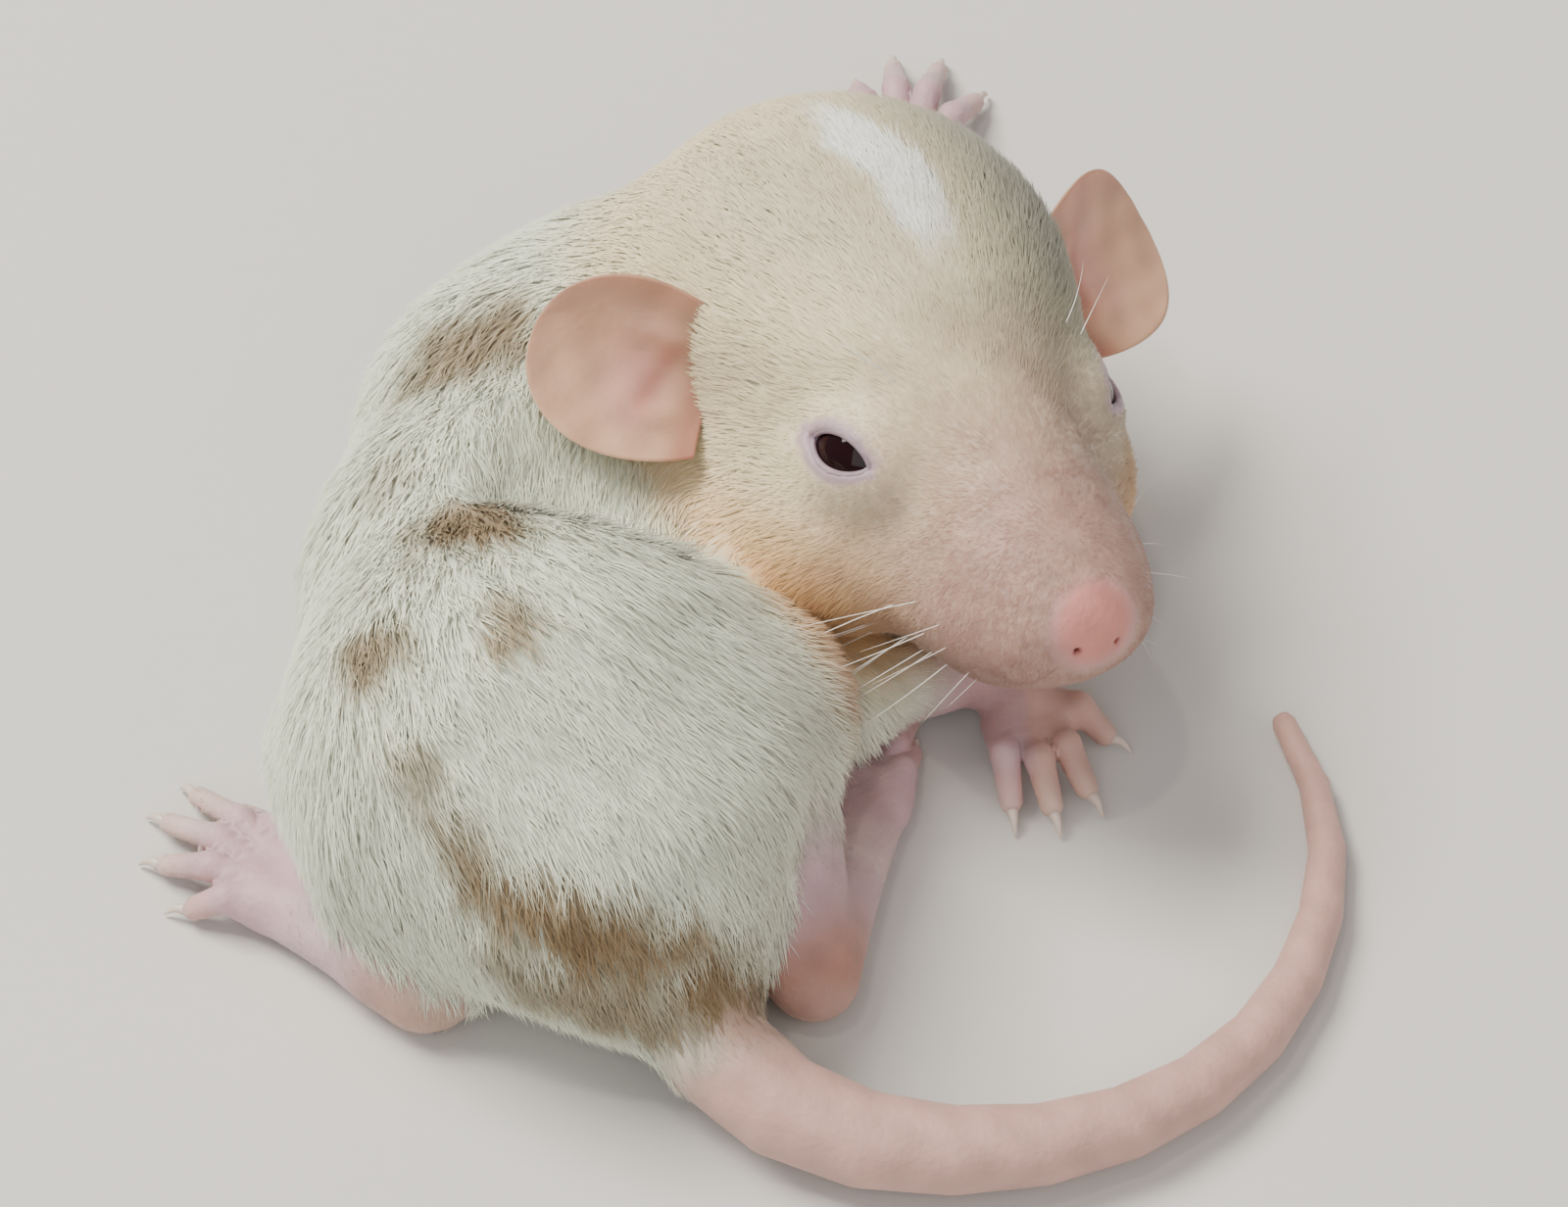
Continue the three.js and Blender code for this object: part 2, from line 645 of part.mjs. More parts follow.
function headSolid() {
  const base = meshedPart("head", CELL.head);
  const add = [];
  const cut = [];
  for (const s of [1, -1]) {
    cut.push(solid(ballGeometry(s, EYE_RADIUS + GAP, 20)));
    const [inner, outer] = [EYE_RADIUS - 0.9, EYE_RADIUS + 2.2];
    cut.push(solid(between(placed(lidOutline(s, inner, 20)), placed(lidOutline(s, outer, 20)))));
    const rim = placed(lidOutline(s, EYE_RADIUS + GAP + 0.42, 20, 0.22));
    add.push(solid(outwards(ringRod(rim, LID_THICKNESS, 6))));
    const nostril = onHead(V(12, 0, -2.6), V(4.6, 0.95 * s, 0.1));
    const inside = V(13.6, 0.7 * s, -2.8).applyMatrix4(headFrame);
    cut.push(rodThrough([inside, inside.clone().lerp(nostril, 0.5), nostril], 0.42, 4, 8));
    const corner = onHead(V(6, 0, -4.4), V(3.2, 3.4 * s, -1.2));
    const middle = onHead(V(8, 0, -4.4), V(5.5, 2.4 * s, -1.3));
    const front = onHead(V(9, 0, -4), V(5, 0.02 * s, -1.5));
    cut.push(rodThrough([corner, middle, front], 0.3, 10, 6));
  }
  const crease = [0, 0.5, 1].map((t) => onHead(V(10, 0, -3), V(5, 0, -0.35 - 1.1 * t)));
  cut.push(rodThrough(crease, 0.22, 6, 6));
  return shaped(base, { add, cut });
}

// A cupped oval with two faces and a rounded rim, its root at the head
function earGeometry(s) {
  const { along, facing, across } = earAxes(s);
  const root = EAR_ROOT.clone().multiply(V(1, s, 1));
  const rows = 12;
  const columns = 10;
  const surface = (u, v, lift) => {
    const reach = (1 - Math.cos(Math.PI * (0.12 + 0.88 * v))) / 2;
    const far = Math.max(0, (reach - EAR_WIDEST) / (1 - EAR_WIDEST));
    const near = Math.max(0, (EAR_WIDEST - reach) / EAR_WIDEST);
    const share = Math.sqrt(Math.max(0, 1 - far * far)) ** 0.9 * (1 - 0.28 * near * near);
    const width = (EAR_WIDTH / 2) * share;
    const cup = EAR_CUP * ((u * share) ** 2 * 0.9 + reach * reach * 0.5 - 0.6) * (1 - 0.35 * reach);
    return root
      .clone()
      .addScaledVector(along, reach * EAR_LENGTH)
      .addScaledVector(across, u * width)
      .addScaledVector(facing, cup + lift);
  };
  const positions = [];
  const put = (p) => {
    const q = p.applyMatrix4(headFrame);
    positions.push(q.x, q.y, q.z);
    return positions.length / 3 - 1;
  };
  const tip = put(surface(0, 1, 0));
  const faces = [];
  const sheets = [1, -1].map((face) =>
    Array.from({ length: rows }, (_, j) =>
      Array.from({ length: columns + 1 }, (_, i) => {
        const u = (2 * i) / columns - 1;
        const thin = 1 - 0.45 * Math.abs(u) ** 3;
        return put(surface(u, j / rows, (face * EAR_THICKNESS * thin) / 2));
      }),
    ),
  );
  const quad = (a, b, c, d) => faces.push(a, b, c, a, c, d);
  const [front, back] = sheets;
  for (let j = 0; j < rows - 1; j += 1)
    for (let i = 0; i < columns; i += 1) {
      quad(front[j][i], front[j][i + 1], front[j + 1][i + 1], front[j + 1][i]);
      faces.push(back[j][i], back[j + 1][i + 1], back[j][i + 1], back[j][i], back[j + 1][i], back[j + 1][i + 1]);
    }
  for (let j = 0; j < rows - 1; j += 1) {
    quad(back[j][0], front[j][0], front[j + 1][0], back[j + 1][0]);
    quad(front[j][columns], back[j][columns], back[j + 1][columns], front[j + 1][columns]);
  }
  for (let i = 0; i < columns; i += 1) {
    quad(back[0][i], back[0][i + 1], front[0][i + 1], front[0][i]);
    faces.push(front[rows - 1][i], front[rows - 1][i + 1], tip);
    faces.push(back[rows - 1][i + 1], back[rows - 1][i], tip);
  }
  faces.push(back[rows - 1][0], front[rows - 1][0], tip);
  faces.push(front[rows - 1][columns], back[rows - 1][columns], tip);
  const geometry = new THREE.BufferGeometry();
  geometry.setAttribute("position", new THREE.Float32BufferAttribute(positions, 3));
  geometry.setIndex(faces);
  return outwards(geometry);
}

// The head a gap larger all round, to cut an ear's root to
function headMould() {
  const c = V(-4, 0, 0).applyMatrix4(headFrame);
  const field = (x, y, z) => Math.max(flesh(x, y, z) - GAP - 0.1, Math.hypot(x - c.x, y - c.y, z - c.z) - 20);
  return gridded(field, new THREE.Box3(c, c).clone().expandByScalar(22), 1.0);
}

// Toes with their claws, from the ball of a foot to each tip
function toeSolids(name) {
  const { heel, ball } = LEGS[name];
  const tips = TOES[name];
  const along = ball.at.clone().sub(heel.at).setZ(0).normalize();
  const across = V(-along.y, along.x, 0);
  const solids = [];
  tips.forEach((tip, i) => {
    const t = (2 * i) / (tips.length - 1) - 1;
    const outer = Math.sign(across.dot(tips[tips.length - 1].clone().sub(tips[0])));
    const root = ball.at.clone().addScaledVector(across, outer * t * ball.r * 1.15);
    root.addScaledVector(along, -0.9 * t * t);
    const knuckle = root.clone().lerp(tip, 0.52).setZ(Math.max(root.z, tip.z) + 0.55);
    const curve = new THREE.CatmullRomCurve3([root, knuckle, tip]);
    const radius = (u) => TOE_RADIUS * (1.05 - 0.25 * u + 0.16 * Math.exp(-(((u - 0.88) / 0.12) ** 2)));
    solids.push(solid(outwards(rod(curve, radius, 5, 7, 0.8))));
    const heading = curve.getTangentAt(1);
    const low = tip.clone().addScaledVector(heading, TOE_RADIUS * 0.4);
    const end = tip.clone().addScaledVector(heading, TOE_RADIUS * 0.4 + CLAW_LENGTH).setZ(0.3);
    const middle = low.clone().lerp(end, 0.5).setZ(low.z * 0.5 + end.z * 0.5 + 0.2);
    const claw = rod(new THREE.CatmullRomCurve3([low, middle, end]), (u) => 0.34 - 0.16 * u, 2, 5, 0.6);
    solids.push(solid(outwards(claw)));
  });
  return solids;
}

// The tail beyond the rump in lengths with a gap between each and the next
function tailGeometry(index) {
  const total = tailCurve.getLength();
  const span = (1 - tailCut) / TAIL_LENGTHS;
  const start = tailCut + index * span + GAP / 2 / total;
  const end = tailCut + (index + 1) * span - (index === TAIL_LENGTHS - 1 ? 0 : GAP / 2 / total);
  const points = Array.from({ length: 9 }, (_, i) => tailCurve.getPointAt(start + ((end - start) * i) / 8));
  const curve = new THREE.CatmullRomCurve3(points);
  const radius = (u) => tailRadius(start + (end - start) * u);
  return outwards(rod(curve, radius, 8, 12, 0));
}

// The parts, each with its colour and how rough it is

const parts = {};
const add = (name, manifold, color, roughness = 0.85) => {
  parts[name] = { manifold, color, roughness };
};

add("head", headSolid(), CREAM);
add("neck", meshedPart("neck", CELL.trunk), WHITE_COAT);
add("chest", meshedPart("trunk", CELL.trunk, [before("chestLoin"), before("rumpTail")]), WHITE_COAT);
add("loin", meshedPart("trunk", CELL.trunk, [after("chestLoin"), before("loinRump")]), WHITE_COAT);
add("rump", meshedPart("trunk", CELL.trunk, [after("loinRump"), before("rumpTail")]), WHITE_COAT);

for (const [name, [upper, lower, foot]] of Object.entries(LEG_PARTS)) {
  add(upper, meshedPart(upper, CELL.limb), WHITE_COAT);
  add(lower, meshedPart(lower, CELL.limb), WHITE_COAT);
  add(foot, shaped(meshedPart(foot, CELL.foot), { add: toeSolids(name) }), PINK_SKIN, 0.7);
}

const mould = headMould();
for (const [word, s] of [["left", 1], ["right", -1]]) {
  add(`ear_${word}`, shaped(solid(earGeometry(s)), { cut: [mould] }), PINK_SKIN, 0.7);
  add(`eye_${word}`, solid(ballGeometry(s, EYE_RADIUS, 16)), EYE_BLACK, 0.08);
}
for (let i = 0; i < TAIL_LENGTHS; i += 1) add(`tail_${i + 1}`, solid(tailGeometry(i)), PINK_SKIN, 0.75);

// Where two coarse surfaces still run through each other, the first of the pair gives way
const largest = (manifold) => manifold.decompose().reduce((best, s) => (s.volume() > best.volume() ? s : best));
const names = Object.keys(parts);
names.forEach((name, i) => {
  for (const other of names.slice(i + 1)) {
    if (parts[name].manifold.intersect(parts[other].manifold).volume() < 1e-4) continue;
    parts[name].manifold = largest(parts[name].manifold.subtract(parts[other].manifold));
  }
});

const group = new THREE.Group();
group.name = "dumbo_rat_pup";
for (const [name, { manifold, color, roughness }] of Object.entries(parts)) {
  const mesh = new THREE.Mesh(
    geometryOf(largest(manifold)),
    new THREE.MeshStandardMaterial({ color, roughness, metalness: 0, flatShading: true }),
  );
  mesh.name = name;
  group.add(mesh);
}

// The origin goes to the middle of the base
const bounds = new THREE.Box3().setFromObject(group);
const middle = bounds.getCenter(V());
for (const mesh of group.children) mesh.geometry.translate(-middle.x, -middle.y, -bounds.min.z);

export default group;
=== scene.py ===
"""A dumbo rat pup about two weeks old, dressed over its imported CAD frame.

One closed skin is drawn over the same rods and ellipsoids that the solids are built from, a coat's depth
inside them. Tufts of short fur, whiskers, claws, lids, eyes and cupped ears are set on that skin. Sizes in
the rig are in millimetres.
"""

import logging
import math
from collections.abc import Callable
from dataclasses import dataclass, field
from enum import Enum

import bpy
import numpy as np
from mathutils import Matrix, Vector


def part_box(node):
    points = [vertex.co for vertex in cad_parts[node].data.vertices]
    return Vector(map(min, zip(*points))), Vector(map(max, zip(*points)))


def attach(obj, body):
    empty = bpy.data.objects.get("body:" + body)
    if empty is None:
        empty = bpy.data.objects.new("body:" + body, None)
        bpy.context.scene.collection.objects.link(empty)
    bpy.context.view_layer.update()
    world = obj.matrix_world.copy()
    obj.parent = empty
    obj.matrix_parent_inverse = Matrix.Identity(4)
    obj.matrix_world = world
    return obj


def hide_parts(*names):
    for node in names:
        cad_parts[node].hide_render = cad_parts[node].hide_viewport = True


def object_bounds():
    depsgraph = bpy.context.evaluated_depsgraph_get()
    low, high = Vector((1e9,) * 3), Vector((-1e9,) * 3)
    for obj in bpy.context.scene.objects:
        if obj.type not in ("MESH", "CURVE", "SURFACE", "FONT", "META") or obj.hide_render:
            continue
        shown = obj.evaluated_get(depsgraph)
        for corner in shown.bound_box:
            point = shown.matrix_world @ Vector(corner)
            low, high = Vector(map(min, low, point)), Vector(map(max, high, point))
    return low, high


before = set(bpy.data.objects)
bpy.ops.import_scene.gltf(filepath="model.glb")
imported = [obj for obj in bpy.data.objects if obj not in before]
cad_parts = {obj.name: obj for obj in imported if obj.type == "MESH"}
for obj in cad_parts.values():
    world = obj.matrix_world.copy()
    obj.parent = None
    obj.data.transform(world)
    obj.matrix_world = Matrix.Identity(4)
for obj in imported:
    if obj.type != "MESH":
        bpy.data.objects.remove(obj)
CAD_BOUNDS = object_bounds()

log = logging.getLogger("rat")
MM = 0.001
Array = np.ndarray
Field = Callable[[Array], Array]
Colour = tuple[float, float, float]
NOSE_PAD = (17.2, 0.0, -2.9)  # the middle of the bare nose, in the head's frame
CHUNK = 150_000  # points worked out at a time
PATCH_RADIUS = 0.0015  # how far a tuft's corners spread round its root in the unwrap
COAT_PIECES = 8


# The rig.


def vec(*values: float) -> Array:
    """A point or direction.

    Args:
        *values: its numbers.
    Returns:
        Them as an array of floats.
    """
    return np.array(values, dtype=float)


def unit(v: Array) -> Array:
    """Vectors scaled to length 1.

    Args:
        v: one vector or an array of them.
    Returns:
        The same shape, normalised.
    """
    return v / np.maximum(np.linalg.norm(v, axis=-1, keepdims=True), 1e-12)


def smoothstep(low: float, high: float, x: Array) -> Array:
    """A soft step from 0 at low to 1 at high.

    Args:
        low: where it leaves 0.
        high: where it reaches 1.
        x: values.
    Returns:
        The step at each value.
    """
    t = np.clip((x - low) / (high - low), 0, 1)
    return t * t * (3 - 2 * t)


def soft_min(a: Array, b: Array, k: float) -> Array:
    """The smaller of two fields, rounded over a width k where they are close.

    Args:
        a: first field.
        b: second field.
        k: width of the rounding.
    Returns:
        The blended field.
    """
    h = np.maximum(k - np.abs(a - b), 0) / k
    return np.minimum(a, b) - h * h * k / 4


def blend(k: float, *values: Array) -> Array:
    """The soft minimum of several fields in turn.

    Args:
        k: width of the rounding.
        *values: the fields.
    Returns:
        One field.
    """
    d = values[0]
    for other in values[1:]:
        d = soft_min(d, other, k)
    return d


def rod(p: Array, a: Array, ra: float, b: Array, rb: float) -> Array:
    """Distance to a rod with round ends whose radius changes along it.

    Args:
        p: points.
        a: start of its middle line.
        ra: radius there.
        b: end of its middle line.
        rb: radius there.
    Returns:
        Distance outside its surface, negative inside.
    """
    d = b - a
    t = np.clip((p - a) @ d / max(d @ d, 1e-12), 0, 1)
    return np.linalg.norm(p - a - t[:, None] * d, axis=1) - (ra + t * (rb - ra))


def ellipsoid(p: Array, at: Array, radii: Array) -> Array:
    """Approximate distance to an ellipsoid.

    Args:
        p: points.
        at: its middle.
        radii: its half sizes along the axes.
    Returns:
        Distance outside its surface, negative inside.
    """
    q = (p - at) / radii
    k0 = np.linalg.norm(q, axis=1)
    k1 = np.maximum(np.linalg.norm(q / radii, axis=1), 1e-9)
    return k0 * (k0 - 1) / k1


HEAD_FORWARD = unit(vec(0.488, -0.827, 0.279))
HEAD_UP = unit(np.cross(HEAD_FORWARD, unit(vec(0.873, 0.456, -0.173))))
HEAD_LEFT = np.cross(HEAD_UP, HEAD_FORWARD)
HEAD_AXES = np.stack([HEAD_FORWARD, HEAD_LEFT, HEAD_UP])
NOSE_TIP = vec(0, -1.3, 14.9)
NOSE_TIP_IN_HEAD = vec(17, 0, -3)
HEAD_MIDDLE = NOSE_TIP - NOSE_TIP_IN_HEAD @ HEAD_AXES


def to_head(p: Array) -> Array:
    """Rig points in the head's frame: x forward, y left, z up.

    Args:
        p: points in the rig.
    Returns:
        The same points from the middle of the skull.
    """
    return (p - HEAD_MIDDLE) @ HEAD_AXES.T


def from_head(p: Array) -> Array:
    """Points of the head's frame in the rig.

    Args:
        p: points from the middle of the skull.
    Returns:
        The same points in the rig.
    """
    return p @ HEAD_AXES + HEAD_MIDDLE


class Part(Enum):
    """What a place on the skin belongs to."""

    HEAD = 0
    TRUNK = 1
    HIND_RIGHT = 2
    HIND_LEFT = 3
    FORE_RIGHT = 4
    FORE_LEFT = 5
    TAIL = 6


@dataclass(frozen=True)
class Leg:
    """One leg from hip or shoulder to the tips of its toes, each joint as x, y, z and radius."""

    hip: tuple[float, float, float, float]
    knee: tuple[float, float, float, float]
    ankle: tuple[float, float, float, float]
    heel: tuple[float, float, float, float]
    ball: tuple[float, float, float, float]
    toes: tuple[tuple[float, float, float], ...]
    soft: float

    def toe_lines(self) -> list[Array]:
        """Root, knuckle and tip of each toe.

        Returns:
            One array of three points for each toe.
        """
        heel, ball = vec(*self.heel[:3]), vec(*self.ball[:3])
        along = unit((ball - heel) * vec(1, 1, 0))
        across = vec(-along[1], along[0], 0)
        tips = [vec(*t) for t in self.toes]
        outer = np.sign(across @ (tips[-1] - tips[0]))
        lines = []
        for i, tip in enumerate(tips):
            t = 2 * i / (len(tips) - 1) - 1
            root = ball + across * outer * t * self.ball[3] * 1.15 - along * 0.9 * t * t
            knuckle = root + (tip - root) * 0.52
            knuckle[2] = max(root[2], tip[2]) + 0.55
            lines.append(np.stack([root, knuckle, tip]))
        return lines


LEGS: dict[Part, Leg] = {
    Part.HIND_RIGHT: Leg(
        (-18.2, -3.6, 10.2, 6.3), (-15.0, -0.6, 8.4, 4.9), (-12.6, -8.6, 3.6, 2.3), (-12.0, -10.1, 2.2, 1.9),
        (-9.8, 0.6, 1.4, 1.3),
        ((-7.6, 3.0, 0.9), (-7.6, 5.0, 0.9), (-8.6, 5.8, 0.9), (-9.8, 5.6, 0.9), (-11.2, 3.6, 0.9)), 2.6,
    ),
    Part.HIND_LEFT: Leg(
        (-25, -5, 8.5, 6.5), (-31, -1.5, 6, 4.6), (-29.8, -8.8, 3.1, 2.9), (-28.6, -10.4, 2.4, 2.3),
        (-35.6, -4.4, 1.5, 1.35),
        ((-37.2, -0.4, 0.9), (-39.2, 0.6, 0.9), (-40.4, -0.9, 0.9), (-40.4, -3.2, 0.9), (-39.0, -5.6, 0.9)),
        2.6,
    ),
    Part.FORE_RIGHT: Leg(
        (-16.4, 11.4, 6.6, 4.8), (-11.2, 3.6, 4.6, 3.0), (-4.0, 6.6, 2.8, 1.55), (-3.3, 6.0, 2.4, 1.4),
        (-2.1, 3.9, 1.6, 1.15),
        ((1.1, 4.2, 0.9), (0.2, 1.1, 0.9), (-1.4, 0.1, 0.9), (-3.2, 0.3, 0.9)), 2.2,
    ),
    Part.FORE_LEFT: Leg(
        (-20, 19, 8.4, 4.8), (-15.6, 28.8, 5.4, 2.8), (-8.9, 37.6, 2.7, 1.6), (-8.4, 38.4, 2.3, 1.45),
        (-7.2, 41.0, 1.6, 1.2),
        ((-9.6, 45.0, 0.9), (-7.8, 46.6, 0.9), (-5.6, 46.4, 0.9), (-3.8, 44.2, 0.9)), 2.2,
    ),
}
SPINE = (
    (-19.5, 20.5, 7.0, 7.3), (-24.0, 16.4, 6.6, 8.1), (-25.4, 6.6, 7.8, 8.6), (-24.0, -3.8, 9.8, 10.2),
    (-20.6, -8.4, 8.6, 7.4), (-18.6, -11.2, 6.0, 3.9),
)
NECK = ((-20, 20, 7.2, 7.6), (-12.5, 21.6, 10.6, 7.8))
BELLY = ((-22.4, 1.5, 7.6), (9.6, 10.5, 7.7))
TAIL_ROUTE = (
    (-17.8, -12.0, 5.2), (-15.6, -15.8, 3.6), (-10.6, -18.8, 2.8), (-3.8, -19.2, 2.4), (2.4, -17.0, 2.0),
    (7.2, -12.6, 1.6), (10.0, -6.6, 1.3), (10.6, -0.4, 1.0), (9.2, 4.8, 0.8),
)
TAIL_RADII = (2.7, 0.6)
TAIL_POINTS = 40
TAIL_STEP = 3
TOE_RADIUS = 0.78
EYE_OPENING = vec(6.4, 6.6, 1.9)
EYE_FACING = vec(0.33, 0.83, 0.45)
EYE_RADIUS = 2.3
EYE_DEPTH = 1.95
EYE_SLANT = 0.08
LID_LENGTH = 3.9
LID_OPENING = 1.5
EAR_LENGTH = 8.6
EAR_WIDTH = 7.9
EAR_ROOT = vec(-0.3, 8.8, 2.1)
EAR_ALONG_LEFT = vec(-0.62, 0.9, 0.1)
EAR_ALONG_RIGHT = vec(-0.46, -0.83, 0.3)
EAR_FACING = vec(0.745, 0.426, 0.513)
EAR_HOLLOW_FORWARD = 2.8
EAR_HOLLOW_RADII = vec(8.6, 8.2, 4.6)
EAR_WIDEST = 0.5
EAR_CUP = 2.1
EAR_THICKNESS = 0.42
EAR_ROWS = 44
EAR_COLUMNS = 40
CLAW_LENGTH = 1.15
CLAW_RADII = (0.3, 0.05)
CLAW_POINTS = 9
CLAW_SIDES = 10
WHISKER_RADIUS = 0.035
BROW_RADIUS = 0.025
HAIR_POINTS = 12
HAIR_SIDES = 5


def through(points: tuple, count: int) -> Array:
    """Evenly spaced points on a centripetal Catmull-Rom curve.

    Args:
        points: the curve's own points.
        count: how many to return.
    Returns:
        Points along it, the first and last at its ends.
    """
    p = np.array(points, dtype=float)
    p = np.vstack([2 * p[0] - p[1], p, 2 * p[-1] - p[-2]])
    steps = np.linspace(0, 1, 24, endpoint=False)
    fine = []
    for i in range(1, len(p) - 2):
        knots = [0.0]
        for j in range(3):
            knots.append(knots[-1] + max(np.linalg.norm(p[i + j] - p[i + j - 1]) ** 0.5, 1e-4))
        t0, t1, t2, t3 = knots
        for s in steps:
            t = t1 + s * (t2 - t1)
            a1 = (t1 - t) / (t1 - t0) * p[i - 1] + (t - t0) / (t1 - t0) * p[i]
            a2 = (t2 - t) / (t2 - t1) * p[i] + (t - t1) / (t2 - t1) * p[i + 1]
            a3 = (t3 - t) / (t3 - t2) * p[i + 1] + (t - t2) / (t3 - t2) * p[i + 2]
            b1 = (t2 - t) / (t2 - t0) * a1 + (t - t0) / (t2 - t0) * a2
            b2 = (t3 - t) / (t3 - t1) * a2 + (t - t1) / (t3 - t1) * a3
            fine.append((t2 - t) / (t2 - t1) * b1 + (t - t1) / (t2 - t1) * b2)
    fine.append(p[-2])
    line = np.array(fine)
    run = np.concatenate([[0], np.cumsum(np.linalg.norm(np.diff(line, axis=0), axis=1))])
    want = np.linspace(0, run[-1], count)
    return np.stack([np.interp(want, run, line[:, k]) for k in range(3)], axis=1)


@dataclass(frozen=True)
class Eye:
    """One eye: the middle of its ball and the frame of its lids' opening, all in the head's frame."""

    side: int

    @property
    def out(self) -> Array:
        """Direction the opening faces."""
        return unit(EYE_FACING * vec(1, self.side, 1))

    @property
    def ball(self) -> Array:
        """Middle of the eyeball."""
        return EYE_OPENING * vec(1, self.side, 1) - self.out * EYE_DEPTH

    @property
    def axes(self) -> tuple[Array, Array]:
        """Along the opening towards the nose, and up across it."""
        along = unit(vec(1, 0, 0) - self.out * self.out[0])
        up = unit(np.cross(self.out, along)) * -self.side
        along = unit(along + up * EYE_SLANT)
        return along, unit(np.cross(self.out, along)) * -self.side

    def opening(self, h: Array) -> Array:
        """Distance from the almond prism that the lids leave open.

        Args:
            h: points in the head's frame.
        Returns:
            Negative inside the opening.
        """
        along, up = self.axes
        q = h - self.ball
        depth = q @ self.out
        scale = EYE_RADIUS / np.maximum(depth, 0.6)
        x = (q @ along) * scale
        y = (q @ up) * scale
        half = LID_OPENING / 2 * np.clip(1 - (2 * x / LID_LENGTH) ** 2, 0, 1) ** 0.85
        d = np.maximum(np.abs(y) - half, np.abs(x) - LID_LENGTH / 2)
        return np.where(depth > 0.6, d, 5.0)


EYES = {"right": Eye(-1), "left": Eye(1)}


def ear_axes(side: int) -> tuple[Array, Array, Array]:
    """Which way an ear points, which way its hollow side faces, and the way across it.

    Args:
        side: 1 for the left ear, -1 for the right one.
    Returns:
        Three unit vectors in the head's frame.
    """
    along = unit(EAR_ALONG_LEFT if side > 0 else EAR_ALONG_RIGHT)
    facing = EAR_FACING * vec(1, side, 1)
    facing = unit(facing - along * (facing @ along))
    return along, facing, np.cross(facing, along)


def ear_hollow(p: Array) -> Array:
    """Field of the shallow hollow in the shoulder in which the right ear stands.

    Args:
        p: points in the rig.
    Returns:
        The field at each.
    """
    along, facing, across = ear_axes(-1)
    middle = EAR_ROOT * vec(1, -1, 1) + along * EAR_LENGTH / 2 + facing * EAR_HOLLOW_FORWARD
    h = to_head(p) - middle
    return ellipsoid(np.stack([h @ along, h @ across, h @ facing], 1), vec(0, 0, 0), EAR_HOLLOW_RADII)


